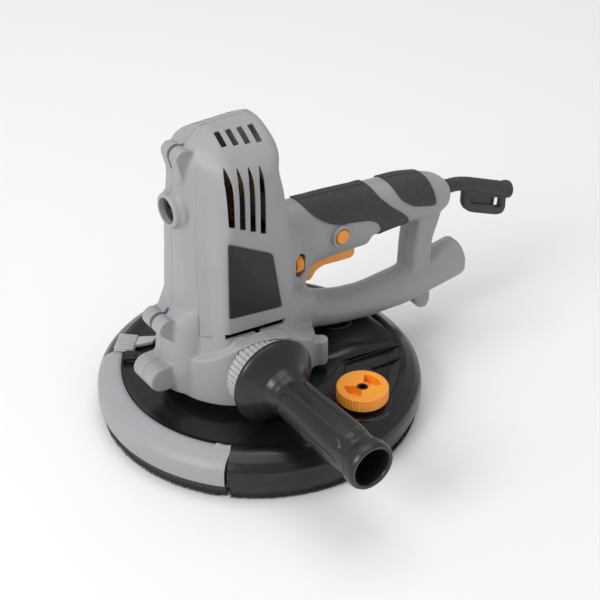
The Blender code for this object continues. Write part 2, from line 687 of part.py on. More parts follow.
def build_gear_plates(aluminium):
    """The lower plate carries the spindle's main bearing, the upper one the pinion's bearing."""
    low = ring("gear_plate_low", 0.0070, 0.0510, 0.0430, 0.0470, aluminium,
               origin=(BASE_CENTRE_X, 0, 0), steps=40)
    cut(low, rod("low_plate_bore", 0.0260, 0.0400, 0.0520, origin=(0.0, 0, 0), steps=32))
    nose = [(0.0133, 0.0430), (0.0257, 0.0430), (0.0257, 0.0470), (0.0190, 0.0500), (0.0133, 0.0500)]
    turned("bearing_nose", nose, aluminium, steps=32, closed=True)
    top = rod("gear_plate_top", 0.0475, 0.0660, 0.0705, aluminium,
              origin=(BASE_CENTRE_X, 0, 0), steps=40)
    cut(top, rod("top_plate_bore", 0.0099, 0.0600, 0.0760, steps=24),
        rod("top_plate_motor_bore", 0.0104, 0.0600, 0.0760, origin=(MOTOR_X, 0, 0), steps=24),
        block("top_plate_flat", (0.0122, -0.0600, 0.0600), (0.0600, 0.0600, 0.0760)))


def build_motor(core, copper, steel, dark, carbon, brass):
    place = {"origin": (MOTOR_X, 0, 0)}
    at_motor = Matrix.Translation((MOTOR_X, 0, 0))
    ring("stator", 0.0166, 0.0290, 0.1020, 0.1500, core, steps=32, **place)
    shaft = [(0.0032, 0.0510), (0.0032, 0.0620), (0.0040, 0.0630), (0.0040, 0.1980), (0.0032, 0.1985),
             (0.0032, 0.2090)]
    solid_turned("rotor_shaft", shaft, steel, steps=16, **place)
    rotor = prism("rotor_core", wheel_outline(0.0160, 12, 0.0022), 0.1040, 0.1480, core, "XY", at_motor)
    cut(rotor, rod("rotor_bore", 0.0041, 0.1000, 0.1550, steps=16, **place))
    ring("commutator", 0.0041, 0.0110, 0.1780, 0.1940, copper, steps=24, **place)
    ring("rotor_windings", 0.0041, 0.0135, 0.1484, 0.1700, copper, steps=20, **place)
    fan = ring("fan", 0.0041, 0.0290, 0.0790, 0.0806, dark, steps=32, **place)
    for i in range(10):
        turn = at_motor @ Matrix.Rotation(math.radians(36.0 * i), 4, "Z")
        join(fan, block(f"fan_blade_{i}", (0.0100, -0.0007, 0.0800), (0.0280, 0.0007, 0.0920), matrix=turn))
    bearing("motor_bearing_low", 0.0042, 0.0100, 0.0662, 0.0702, steel, MOTOR_X)
    bearing("motor_bearing_top", 0.0034, 0.0095, 0.2032, 0.2085, steel, MOTOR_X)
    for name, way in (("front", -1), ("rear", 1)):
        outer = 0.0290
        low, high = sorted((MOTOR_X + way * 0.0160, MOTOR_X + way * outer))
        z, half = BRUSH_CAP_Z, 0.0052
        holder = block(f"brush_holder_{name}", (low, -half, z - half), (high, half, z + half), brass)
        cut(holder, block(f"brush_slot_{name}", (low - 0.01, -0.0029, z - 0.0035),
                          (high + 0.01, 0.0029, z + 0.0035)))
        low, high = sorted((MOTOR_X + way * 0.0114, MOTOR_X + way * 0.0260))
        block(f"carbon_brush_{name}", (low, -0.0026, z - 0.0032), (high, 0.0026, z + 0.0032), carbon)
        axis = X_AXIS if way > 0 else X_AXIS @ Matrix.Rotation(math.pi, 4, "Y")
        reach = 0.0430 if way > 0 else 0.0380
        cap = solid_turned(f"brush_cap_{name}", [(0.0084, 0.0295), (0.0088, 0.0300), (0.0088, reach - 0.003),
                                                 (0.0080, reach - 0.002)],
                           dark, origin=(MOTOR_X, 0, z), axis=axis, steps=24)
        slot_low, slot_high = sorted((MOTOR_X + way * (reach - 0.0035), MOTOR_X + way * (reach + 0.01)))
        cut(cap, block(f"cap_slot_{name}", (slot_low, -0.0055, z - 0.0008), (slot_high, 0.0055, z + 0.0008)))


# ---------------------------------------------------------------- disc and shroud


def build_disc(abrasive, foam, dark):
    sheet = rod("abrasive_disc", DISC_RADIUS, 0.0, 0.0012, abrasive, steps=44)
    for i in range(8):
        angle = math.radians(45.0 * i + 22.5)
        centre = (0.0620 * math.cos(angle), 0.0620 * math.sin(angle), 0)
        cut(sheet, rod(f"disc_hole_{i}", 0.0050, -0.0010, 0.0030, origin=centre, steps=8))
    rod("foam_pad", DISC_RADIUS - 0.0008, 0.0015, 0.0075, foam, steps=36)
    hub = [(0.0860, 0.0078), (0.0860, 0.0100), (0.0800, 0.0115), (0.0300, 0.0115), (0.0160, 0.0160),
           (0.0140, 0.0230), (0.0060, 0.0230)]
    plate = solid_turned("backing_plate", hub, dark, steps=36)
    cut(plate, rod("plate_bore", 0.0053, 0.0125, 0.0300, steps=20))


def shroud_profile():
    return [
        (0.0240, 0.0375), (0.0600, 0.0375), (0.0640, 0.0340), (0.1000, 0.0325),
        (0.1020, 0.0335), (0.1045, RIM_TOP), (0.1150, 0.0285), (0.1188, 0.0255),
        (RIM_RADIUS, 0.0215), (RIM_RADIUS, RIM_BOTTOM), (0.1085, RIM_BOTTOM), (0.1085, 0.0170),
        (0.1130, 0.0230), (0.1040, 0.0298), (0.0640, 0.0308), (0.0600, 0.0345), (0.0240, 0.0345),
    ]


def hump_rings(inset=0.0):
    """The low dust channel that runs from the middle of the deck to the rear rim."""
    rings = []
    for x, half_width, top, bottom in (
        (0.0400, 0.0370, 0.0406, 0.0300), (0.0600, 0.0400, 0.0420, 0.0300), (0.0850, 0.0430, 0.0385, 0.0300),
        (0.0980, 0.0420, 0.0350, 0.0290), (0.1080, 0.0380, 0.0298, 0.0255),
    ):
        row = []
        steps = 10
        for i in range(steps + 1):
            angle = math.pi * i / steps
            rise = (top - inset - bottom) * math.sin(angle) ** 0.7
            row.append((x, (half_width - inset) * math.cos(angle), bottom + rise))
        rings.append(row)
    return rings


def build_shroud(black, grey):
    rim_cut = sector("flap_gap", FLAP_INNER_RADIUS, 0.1300, FLAP_HALF_ANGLE, FLAP_MIDDLE, 0.0, 0.0600)
    shroud = turned("shroud", shroud_profile(), black, steps=48, closed=True)
    hump = loft("hump", hump_rings())
    inner_rings = hump_rings(DECK_SHEET)[:-1]
    under = loft("hump_under", [[(x, y, z - 0.0045) for x, y, z in row] for row in inner_rings])
    boss = rod("knob_boss", 0.0150, 0.0315, 0.0370, origin=(KNOB_X, KNOB_Y, 0), steps=24)
    socket = rod("hump_socket", 0.0138, 0.0340, 0.0430, origin=(0.0680, 0, 0), steps=24)
    join(shroud, hump, boss, socket)
    cut(shroud, under, rim_cut, arm_loft("arm_clearance", 0.0006),
        rod("hump_port", 0.0115, 0.0300, 0.0450, origin=(0.0680, 0, 0), steps=24),
        rod("knob_hole", 0.0024, 0.0200, 0.0400, origin=(KNOB_X, KNOB_Y, 0), steps=12))
    flap = turned("edge_flap", shroud_profile(), grey, steps=48, closed=True)
    keep = sector("flap_keep", FLAP_INNER_RADIUS + GAP, 0.1300, FLAP_HALF_ANGLE - 0.004, FLAP_MIDDLE,
                  0.0, 0.0600)
    combine(flap, keep, "INTERSECT")


def build_brushes(bristle):
    profile_ring = {"inner": 0.1095, "outer": 0.1180, "low": 0.0, "high": RIM_BOTTOM - GAP}
    main = ring("rim_brush", finish=bristle, steps=48, **profile_ring)
    cut(main, sector("brush_gap", 0.1000, 0.1300, FLAP_HALF_ANGLE + 0.012, FLAP_MIDDLE, -0.01, 0.02))
    flap = ring("flap_brush", finish=bristle, steps=48, **profile_ring)
    keep = sector("brush_keep", 0.1000, 0.1300, FLAP_HALF_ANGLE - 0.010, FLAP_MIDDLE, -0.01, 0.02)
    combine(flap, keep, "INTERSECT")


def build_latch(light_grey):
    """Ribbed thumb slide at the flap's rear end, with an arm that reaches in over the deck."""
    frame = Matrix.Rotation(LATCH_ANGLE, 4, "Z")
    latch = block("flap_latch", (0.0960, -0.0085, 0.0345), (0.1085, 0.0085, 0.0375), light_grey, matrix=frame)
    arm = prism("latch_arm", [(0.0800, -0.0125), (0.0970, -0.0080), (0.0970, 0.0020), (0.0820, -0.0045)],
                0.0345, 0.0368, plane="XY", matrix=frame)
    join(latch, arm)
    for i in range(5):
        y = -0.0066 + 0.0033 * i
        join(latch, block(f"latch_rib_{i}", (0.0965, y - 0.0008, 0.0370), (0.1080, y + 0.0008, 0.0388),
                          matrix=frame))


def build_knob(orange, steel):
    place = Matrix.Translation((KNOB_X, KNOB_Y, 0))
    knob = prism("suction_knob", wheel_outline(0.0195, 30, 0.0007), 0.0373, 0.0485, orange, "XY", place)
    cut(knob, rod("knob_bore", 0.0042, 0.0300, 0.0600, origin=(KNOB_X, KNOB_Y, 0), steps=16))
    for start in (20, 200):
        outline = arc((0, 0), 0.0138, start, start + 75, 5) + arc((0, 0), 0.0050, start + 75, start, 3)
        cut(knob, prism(f"knob_recess_{start}", outline, 0.0440, 0.0600, plane="XY", matrix=place))
    screw = [(0.0022, 0.0330), (0.0022, 0.0373), (0.0038, 0.0374), (0.0038, 0.0470), (0.0030, 0.0480)]
    solid_turned("knob_screw", screw, steel, origin=(KNOB_X, KNOB_Y, 0), steps=12)


# ---------------------------------------------------------------- side handle


def build_side_handle(black, steel, grey):
    profile = [
        (0.0160, HANDLE_SEAT_Y), (0.0305, HANDLE_SEAT_Y), (0.0318, 0.0630), (0.0318, 0.0652),
        (0.0290, 0.0690), (0.0225, 0.0745), (0.0175, 0.0790), (0.0152, 0.0850), (0.0150, 0.1000),
        (0.0158, 0.1200), (0.0162, 0.1450), (0.0158, 0.1620), (0.0152, 0.1660), (0.0172, 0.1685),
        (0.0176, 0.1740), (0.0170, 0.1775), (0.0158, HANDLE_END_Y), (0.0135, 0.1776), (0.0130, 0.1150),
    ]
    origin = (HANDLE_X, 0, HANDLE_Z)
    handle = solid_turned("side_handle", profile, black, origin=origin, axis=MINUS_Y_AXIS, steps=24)
    cut(handle, rod("handle_bore", 0.0044, 0.0500, 0.0960, origin=origin, axis=MINUS_Y_AXIS, steps=16))
    rod("handle_stud", 0.0040, 0.0508, 0.0950, steel, origin=origin, axis=MINUS_Y_AXIS, steps=16)
    collar = prism("handle_collar", wheel_outline(0.0262, 16, 0.0016), 0.0563, 0.0615, grey, "XY",
                   Matrix.Translation(origin) @ MINUS_Y_AXIS)
    cut(collar, rod("collar_bore", 0.0046, 0.0500, 0.0650, origin=origin, axis=MINUS_Y_AXIS, steps=16))


def main():
    global PARTS, CUTTERS
    clear_scene()
    PARTS = new_collection("disc_sander")
    CUTTERS = new_collection("cutters")
    grey = material("grey_body", (0.36, 0.36, 0.375), 0.45)
    light_grey = material("light_grey", (0.42, 0.42, 0.42), 0.5)
    black = material("black_gloss", (0.012, 0.012, 0.014), 0.22)
    dark = material("dark_plastic", (0.045, 0.045, 0.05), 0.5)
    rubber = material("black_rubber", (0.04, 0.04, 0.045), 0.7)
    orange = material("orange_plastic", (0.90, 0.30, 0.02), 0.4)
    bristle = material("bristle", (0.01, 0.01, 0.01), 0.9)
    steel = material("steel", (0.55, 0.55, 0.56), 0.3, 1.0)
    dark_steel = material("gear_steel", (0.30, 0.30, 0.31), 0.4, 1.0)
    aluminium = material("cast_aluminium", (0.60, 0.60, 0.61), 0.45, 1.0)
    core = material("lamination", (0.25, 0.25, 0.26), 0.5, 0.8)
    copper = material("copper", (0.75, 0.35, 0.18), 0.35, 1.0)
    carbon = material("carbon", (0.03, 0.03, 0.03), 0.7)
    brass = material("brass", (0.75, 0.55, 0.22), 0.35, 1.0)
    board = material("circuit_board", (0.02, 0.18, 0.07), 0.5)
    abrasive = material("abrasive", (0.25, 0.12, 0.06), 0.95)
    foam = material("foam", (0.05, 0.05, 0.06), 0.9)

    build_housing(grey)
    build_clamshell_screws(steel)
    build_badges(dark)
    build_grip_pads(rubber)
    build_trigger(orange)
    build_switchgear(dark, board)
    build_lock_button(orange)
    build_speed_dial(orange)
    build_cord_guard(rubber)
    build_gears(steel, dark_steel)
    build_spindle(steel)
    build_gear_plates(aluminium)
    build_motor(core, copper, steel, dark, carbon, brass)
    build_disc(abrasive, foam, dark)
    build_shroud(black, grey)
    build_brushes(bristle)
    build_latch(light_grey)
    build_knob(orange, steel)
    build_side_handle(black, steel, light_grey)


main()
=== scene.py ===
"""Looks for the hand-held disc sander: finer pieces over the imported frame, finishes, light and camera.

Metres, in the frame's own axes: the disc's axis is Z, the D-handle runs to +X and the side handle to -Y.
"""

import json
import math
import random

import bmesh
import bpy
import numpy as np
from mathutils import Matrix, Vector


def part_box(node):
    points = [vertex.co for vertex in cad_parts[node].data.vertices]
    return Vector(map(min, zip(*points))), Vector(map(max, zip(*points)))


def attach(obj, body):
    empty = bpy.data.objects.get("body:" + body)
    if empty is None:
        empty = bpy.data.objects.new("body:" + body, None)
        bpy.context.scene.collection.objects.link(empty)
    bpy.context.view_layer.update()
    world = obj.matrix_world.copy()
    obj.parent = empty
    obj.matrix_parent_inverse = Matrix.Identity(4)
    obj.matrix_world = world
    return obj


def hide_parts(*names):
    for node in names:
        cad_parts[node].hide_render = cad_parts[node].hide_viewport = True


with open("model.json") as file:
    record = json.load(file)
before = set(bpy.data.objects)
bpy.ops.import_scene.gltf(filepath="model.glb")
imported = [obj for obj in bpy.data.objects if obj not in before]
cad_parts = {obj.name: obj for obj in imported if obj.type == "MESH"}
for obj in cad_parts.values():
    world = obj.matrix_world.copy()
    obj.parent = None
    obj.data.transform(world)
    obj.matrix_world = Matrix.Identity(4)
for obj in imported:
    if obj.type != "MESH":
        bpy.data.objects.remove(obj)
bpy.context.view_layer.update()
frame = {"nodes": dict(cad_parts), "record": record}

# ---------------------------------------------------------------- places read from the frame

GAP = 0.0003
WALL = 0.0024
BRUSH_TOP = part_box("rim_brush")[1].z
BASE_X = (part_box("gear_plate_low")[0].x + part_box("gear_plate_low")[1].x) / 2
MOTOR_X = (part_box("stator")[0].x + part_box("stator")[1].x) / 2
CAP_Z = (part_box("brush_cap_front")[0].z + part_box("brush_cap_front")[1].z) / 2
TOWER_HALF = -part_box("badge_left")[1].y - GAP
HANDLE_LOW, HANDLE_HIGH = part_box("side_handle")
HANDLE_X = (HANDLE_LOW.x + HANDLE_HIGH.x) / 2
HANDLE_Z = (HANDLE_LOW.z + HANDLE_HIGH.z) / 2
HANDLE_SEAT = -HANDLE_HIGH.y
HANDLE_END = -HANDLE_LOW.y
KNOB_LOW, KNOB_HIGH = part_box("suction_knob")
KNOB_CENTRE = (KNOB_LOW + KNOB_HIGH) / 2
OUTLET_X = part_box("housing_left")[1].x
LOCK_CENTRE = (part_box("lock_button")[0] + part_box("lock_button")[1]) / 2
DIAL_CENTRE = (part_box("speed_dial")[0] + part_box("speed_dial")[1]) / 2

BASE_RADIUS = 0.0560
BASE_BOTTOM = 0.0415
BASE_CEILING = 0.1010
PORT_X = 0.0680
THREAD_RADIUS = 0.0044
HOUSING_VOXEL = 0.0010
FLAP_MIDDLE = math.radians(181.9)
FLAP_HALF = math.radians(43.4)
FLAP_INNER = 0.1013
LATCH_ANGLE = math.radians(136.0)
GUARD_Z = 0.1236

FACE_X = Matrix.Rotation(math.radians(90.0), 4, "Y")
FACE_MINUS_X = Matrix.Rotation(math.radians(-90.0), 4, "Y")
FACE_MINUS_Y = Matrix.Rotation(math.radians(90.0), 4, "X")
FACE_PLUS_Y = Matrix.Rotation(math.radians(-90.0), 4, "X")
UPRIGHT = Matrix.Identity(4)

# (z, front x, rear x, half width, knee y, crease x, crease y, side start x, rear corner)
TOWER = np.array((
    (0.0500, -0.0770, 0.0070, 0.0414, 0.0160, -0.0563, 0.0360, -0.0500, 0.0100),
    (0.0980, -0.0722, 0.0065, 0.0400, 0.0150, -0.0563, 0.0350, -0.0500, 0.0100),
    (0.1500, -0.0699, 0.0055, 0.0400, 0.0130, -0.0570, 0.0310, -0.0495, 0.0110),
    (0.1940, -0.0680, 0.0005, 0.0399, 0.0090, -0.0554, 0.0262, -0.0445, 0.0124),
    (0.2120, -0.0655, -0.0022, 0.0388, 0.0080, -0.0540, 0.0240, -0.0425, 0.0130),
    (0.2200, -0.0635, 0.0000, 0.0350, 0.0075, -0.0525, 0.0225, -0.0415, 0.0120),
    (0.2260, -0.0605, 0.0010, 0.0290, 0.0065, -0.0505, 0.0190, -0.0410, 0.0110),
    (0.2310, -0.0570, 0.0004, 0.0222, 0.0055, -0.0485, 0.0145, -0.0405, 0.0090),
    (0.2350, -0.0530, -0.0003, 0.0150, 0.0040, -0.0465, 0.0098, -0.0400, 0.0070),
    (0.2388, -0.0485, -0.0022, 0.0075, 0.0020, -0.0440, 0.0045, -0.0390, 0.0040),
    (0.2413, -0.0450, -0.0080, 0.0030, 0.0008, -0.0425, 0.0018, -0.0380, 0.0020),
))

# (x, z) of the gear case's top in side view, front to rear
BASE_LINE = ((-0.1200, 0.0500), (-0.0800, 0.0700), (-0.0680, 0.0765), (-0.0590, 0.0828), (-0.0474, 0.0920),
             (-0.0343, 0.0952), (-0.0270, 0.0955), (-0.0120, 0.0915), (0.0000, 0.0830), (0.0120, 0.0740),
             (0.0300, 0.0640), (0.0500, 0.0600), (0.0900, 0.0600))

# (x, half width, top z, foot z) of the dust channel that swells out of the shroud
HUMP = np.array((
    (0.0380, 0.0368, 0.0404, 0.0300),
    (0.0600, 0.0400, 0.0420, 0.0300),
    (0.0850, 0.0430, 0.0385, 0.0300),
    (0.0980, 0.0420, 0.0350, 0.0290),
    (0.1080, 0.0380, 0.0298, 0.0255),
))

# (x, centre z, half width, half height) of the upper grip, nose to tail
GRIP = np.array((
    (-0.0100, 0.1300, 0.0180, 0.0240),
    (0.0100, 0.1290, 0.0190, 0.0290),
    (0.0320, 0.1305, 0.0190, 0.0275),
    (0.0500, 0.1310, 0.0185, 0.0252),
    (0.0800, 0.1290, 0.0180, 0.0240),
    (0.0880, 0.1282, 0.0177, 0.0238),
    (0.0920, 0.1308, 0.0175, 0.0210),
    (0.1050, 0.1305, 0.0170, 0.0197),
    (0.1250, 0.1295, 0.0168, 0.0188),
    (0.1420, 0.1265, 0.0165, 0.0182),
    (0.1560, 0.1240, 0.0155, 0.0160),
    (0.1640, 0.1232, 0.0135, 0.0125),
    (0.1680, 0.1230, 0.0100, 0.0085),
))

# (x, centre z, radius) of the dust arm, base to outlet
ARM = np.array((
    (0.0000, 0.0720, 0.0155),
    (0.0200, 0.0690, 0.0165),
    (0.0370, 0.0655, 0.0162),
    (0.0580, 0.0580, 0.0145),
    (0.0790, 0.0530, 0.0138),
    (0.1000, 0.0505, 0.0140),
    (0.1250, 0.0505, 0.0150),
    (0.1450, 0.0530, 0.0155),
    (0.1600, 0.0550, 0.0158),
    (OUTLET_X, 0.0580, 0.0160),
))

# (z, front x, rear x, half width) of the strut between arm and grip
STRUT = np.array((
    (0.0520, 0.1325, 0.1530, 0.0105),
    (0.0850, 0.1345, 0.1530, 0.0110),
    (0.1050, 0.1365, 0.1585, 0.0115),
    (0.1270, 0.1330, 0.1640, 0.0125),
))

# ---------------------------------------------------------------- mesh tools


def smooth_at(table, x):
    """A row of the table at x in its first column, by monotone cubic interpolation."""
    keys = table[:, 0]
    i = int(np.clip(np.searchsorted(keys, x) - 1, 0, len(keys) - 2))
    step = keys[i + 1] - keys[i]
    t = float(np.clip((x - keys[i]) / step, 0, 1))
    rates = np.diff(table[:, 1:], axis=0) / np.diff(keys)[:, None]

    def slope(k):
        if k == 0 or k == len(keys) - 1:
            return rates[min(k, len(rates) - 1)]
        a, b = rates[k - 1], rates[k]
        return np.where(a * b > 0, 2 * a * b / np.where(np.abs(a + b) > 1e-12, a + b, 1), 0)

    low, high = table[i, 1:], table[i + 1, 1:]
    return ((1 + 2 * t) * (1 - t) ** 2 * low + t * (1 - t) ** 2 * step * slope(i)
            + t * t * (3 - 2 * t) * high + t * t * (t - 1) * step * slope(i + 1))


def smoothstep(x, low, high):
    t = np.clip((x - low) / (high - low), 0, 1)
    return t * t * (3 - 2 * t)


def new_mesh(name, points, faces):
    shape = bmesh.new()
    verts = [shape.verts.new(p) for p in points]
    for face in faces:
        shape.faces.new([verts[i] for i in face])
    bmesh.ops.recalc_face_normals(shape, faces=shape.faces)
    mesh = bpy.data.meshes.new(name)
    shape.to_mesh(mesh)
    shape.free()
    made = bpy.data.objects.new(name, mesh)
    bpy.context.scene.collection.objects.link(made)
    return made


def loft(name, rings, closed=False, matrix=UPRIGHT):
    """A skin over rings with the same number of points; closed joins the last ring to the first."""
    count, total = len(rings[0]), len(rings)
    points = [matrix @ Vector(p) for row in rings for p in row]
    faces = []
    for i in range(total if closed else total - 1):
        a, b = i * count, ((i + 1) % total) * count
        for j in range(count):
            k = (j + 1) % count
            faces.append((a + j, a + k, b + k, b + j))
    if not closed:
        faces += [tuple(range(count)), tuple(range((total - 1) * count, total * count))]
    return new_mesh(name, points, faces)


def lathe(name, profile, matrix=UPRIGHT, steps=96, closed=False, shape=None, arc=None):
    """A profile of (radius, height) turned about local Z. shape(r, h, angle) may change each point.
    With arc=(start, end) only that part is turned, and the profile is a closed outline."""
    start, end = arc if arc else (0.0, 2 * math.pi)
    angles = [start + (end - start) * i / (steps if not arc else steps - 1) for i in range(steps)]

    def point(r, h, angle):
        if shape:
            r, h, angle = shape(r, h, angle)
        return (r * math.cos(angle), r * math.sin(angle), h)

    if arc:
        return loft(name, [[point(r, h, a) for r, h in profile] for a in angles], False, matrix)
    return loft(name, [[point(r, h, a) for a in angles] for r, h in profile], closed, matrix)


def rounded(outline, radius, steps=5):
    """The outline with its corners rounded."""
    points = []
    count = len(outline)
    for i, corner in enumerate(outline):
        here = Vector(corner)
        before, after = Vector(outline[i - 1]) - here, Vector(outline[(i + 1) % count]) - here
        reach = min(radius, before.length * 0.49, after.length * 0.49)
        p0, p2 = here + before.normalized() * reach, here + after.normalized() * reach
        for k in range(steps + 1):
            t = k / steps
            points.append(tuple((1 - t) ** 2 * p0 + 2 * t * (1 - t) * here + t * t * p2))
    return points


def dense(points, step):
    """The open line with points added so that none are further apart than step."""
    out = [points[0]]
    for a, b in zip(points, points[1:]):
        pieces = max(1, math.ceil(math.dist(a, b) / step))
        out += [tuple(a[k] + (b[k] - a[k]) * i / pieces for k in range(len(a))) for i in range(1, pieces + 1)]
    return out


def prism(name, outline, low, high, matrix=UPRIGHT):
    """An outline in local XY, extruded along local Z."""
    return loft(name, [[(x, y, h) for x, y in outline] for h in (low, high)], False, matrix)


def side_prism(name, outline, low, high):
    """An outline in the XZ plane, extruded along Y."""
    return loft(name, [[(x, y, z) for x, z in outline] for y in (low, high)])


def beside(name, outline, side, near, far):
    """A side prism between two distances from the parting plane, on the side given as -1 or 1."""
    return side_prism(name, outline, *sorted((side * near, side * far)))


def box(name, low, high, matrix=UPRIGHT):
    (x0, y0, z0), (x1, y1, z1) = low, high
    return prism(name, [(x0, y0), (x1, y0), (x1, y1), (x0, y1)], z0, z1, matrix)


def rod(name, radius, low, high, matrix=UPRIGHT, steps=64):
    return lathe(name, [(radius, low), (radius, high)], matrix, steps)


def circle(centre, radius, start, end, steps):
    """Points on an arc, angles in degrees."""
    turns = [math.radians(start + (end - start) * i / steps) for i in range(steps + 1)]
    return [(centre[0] + radius * math.cos(a), centre[1] + radius * math.sin(a)) for a in turns]


def at(x, y, z, turn=UPRIGHT):
    return Matrix.Translation((x, y, z)) @ turn


def settle(piece):
    """Applies the piece's modifiers."""
    bpy.context.view_layer.update()
    graph = bpy.context.evaluated_depsgraph_get()
    mesh = bpy.data.meshes.new_from_object(piece.evaluated_get(graph))
    piece.modifiers.clear()
    piece.data = mesh
    return piece


def boolean(piece, operation, others):
    """Joins, cuts or intersects the piece with the others, which are used up."""
    for other in others:
        step = piece.modifiers.new("boolean", "BOOLEAN")
        step.operation, step.object, step.solver = operation, other, "MANIFOLD"
    settle(piece)
    for other in others:
        bpy.data.objects.remove(other, do_unlink=True)
    return piece


def bundle(name, pieces):
    """One object from pieces that don't touch."""
    shape = bmesh.new()
    for piece in pieces:
        shape.from_mesh(piece.data)
        bpy.data.objects.remove(piece, do_unlink=True)
    mesh = bpy.data.meshes.new(name)
    shape.to_mesh(mesh)
    shape.free()
    made = bpy.data.objects.new(name, mesh)
    bpy.context.scene.collection.objects.link(made)
    return made


def melt(piece, voxel, passes, strength=0.5):
    """Fuses the piece into one soft-edged skin."""
    remesh = piece.modifiers.new("melt", "REMESH")
    remesh.mode, remesh.voxel_size, remesh.use_smooth_shade = "VOXEL", voxel, True
    soften = piece.modifiers.new("soften", "SMOOTH")
    soften.factor, soften.iterations = strength, passes
    return settle(piece)


def ease(piece, width, segments=3, angle=35.0):
    """Rounds the piece's sharp edges."""
    edge = piece.modifiers.new("ease", "BEVEL")
    edge.width, edge.segments, edge.limit_method = width, segments, "ANGLE"
    edge.angle_limit = math.radians(angle)
    edge.use_clamp_overlap = True
    return settle(piece)


def dress(piece, finish, slot, body, *nodes, sharp=30.0):
    """Gives the piece its finish and its body, and hides the CAD nodes that it stands for."""
    piece.data.materials.clear()
    piece.data.materials.append(finish)
    piece.data.shade_smooth()
    piece.data.set_sharp_from_angle(angle=math.radians(sharp))
    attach(piece, body)
    if nodes:
        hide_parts(*nodes)
    return piece


# ---------------------------------------------------------------- finishes


class Finish:
    """A Principled material built up from procedural layers in the frame's coordinates."""

    def __init__(self, name, colour, roughness, metallic=0.0):
        self.material = bpy.data.materials.new(name)
        self.material.use_nodes = True
        self.tree = self.material.node_tree
        self.shader = self.tree.nodes["Principled BSDF"]
        self.colour = self.node("ShaderNodeRGB").outputs[0]
        self.colour.default_value = (*colour, 1.0)
        self.rough = roughness
        self.metallic = metallic
        self.normal = None
        self.where = self.node("ShaderNodeTexCoord").outputs["Object"]

    def node(self, kind, **values):
        made = self.tree.nodes.new(kind)
        for key, value in values.items():
            setattr(made, key, value)
        return made

    def link(self, source, target):
        self.tree.links.new(source, target)

    def noise(self, scale, detail=3.0, stretch=None, roughness=0.5):
        source = self.where
        if stretch:
            mapping = self.node("ShaderNodeMapping")
            mapping.inputs["Scale"].default_value = stretch
            self.link(source, mapping.inputs["Vector"])
            source = mapping.outputs[0]
        made = self.node("ShaderNodeTexNoise")
        made.inputs["Scale"].default_value = scale
        made.inputs["Detail"].default_value = detail
        made.inputs["Roughness"].default_value = roughness
        self.link(source, made.inputs["Vector"])
        return made.outputs["Fac"]

    def cells(self, scale):
        made = self.node("ShaderNodeTexVoronoi")
        made.inputs["Scale"].default_value = scale
        self.link(self.where, made.inputs["Vector"])
        return made.outputs["Distance"]

    def remap(self, value, low, high, to_low, to_high):
        made = self.node("ShaderNodeMapRange")
        self.link(value, made.inputs["Value"])
        for key, number in (("From Min", low), ("From Max", high), ("To Min", to_low), ("To Max", to_high)):
            made.inputs[key].default_value = number
        return made.outputs["Result"]

    def tint(self, mask, colour, amount=1.0):
        """Blends a colour over the base where the mask is 1."""
        mix = self.node("ShaderNodeMix", data_type="RGBA")
        scaled = self.remap(mask, 0.0, 1.0, 0.0, amount)
        self.link(scaled, mix.inputs["Factor"])
        self.link(self.colour, mix.inputs["A"])
        mix.inputs["B"].default_value = (*colour, 1.0)
        self.colour = mix.outputs["Result"]
        return self

    def bump(self, height, distance, strength=1.0):
        made = self.node("ShaderNodeBump")
        made.inputs["Distance"].default_value = distance
        made.inputs["Strength"].default_value = strength
        self.link(height, made.inputs["Height"])
        if self.normal:
            self.link(self.normal, made.inputs["Normal"])
        self.normal = made.outputs["Normal"]
        return self

    def uneven(self, mask, low, high):
        """Roughness from low to high as the mask goes from 0.3 to 0.7."""
        self.rough = self.remap(mask, 0.3, 0.7, low, high)
        return self

    def worn_edges(self, colour, amount):
        """Lightens the outward edges, where hands and walls rub."""
        geometry = self.node("ShaderNodeNewGeometry")
        edge = self.remap(geometry.outputs["Pointiness"], 0.52, 0.6, 0.0, 1.0)
        return self.tint(edge, colour, amount)

    def made(self, **inputs):
        self.link(self.colour, self.shader.inputs["Base Color"])
        if isinstance(self.rough, float):
            self.shader.inputs["Roughness"].default_value = self.rough
        else:
            self.link(self.rough, self.shader.inputs["Roughness"])
        self.shader.inputs["Metallic"].default_value = self.metallic
        if self.normal:
            self.link(self.normal, self.shader.inputs["Normal"])
        for key, value in inputs.items():
            self.shader.inputs[key.replace("_", " ")].default_value = value
        return self.material


def moulded(name, colour, roughness, grain=0.00003, scale=2600.0):
    """Injection-moulded plastic with a fine spark-eroded grain."""
    finish = Finish(name, colour, roughness)
    darker = tuple(c * 0.86 for c in colour)
    lighter = tuple(min(1.0, c * 1.12 + 0.01) for c in colour)
    finish.tint(finish.remap(finish.noise(38.0, 4.0), 0.35, 0.75, 0.0, 1.0), darker, 0.45)
    finish.worn_edges(lighter, 0.5)
    finish.uneven(finish.noise(90.0, 5.0), roughness - 0.05, roughness + 0.07)
    finish.bump(finish.noise(scale, 2.0), grain, 0.6)
    return finish


def glossy(name, colour, roughness):
    """Polished moulding with hairline scratches and a little dust."""
    finish = Finish(name, colour, roughness)
    dust = finish.remap(finish.noise(900.0, 6.0, roughness=0.7), 0.62, 0.8, 0.0, 1.0)
    finish.tint(dust, tuple(c + 0.08 for c in colour), 0.25)
    finish.uneven(finish.noise(120.0, 5.0), roughness - 0.03, roughness + 0.05)
    finish.bump(finish.noise(1800.0, 2.0), 0.00001, 0.25)
    return finish


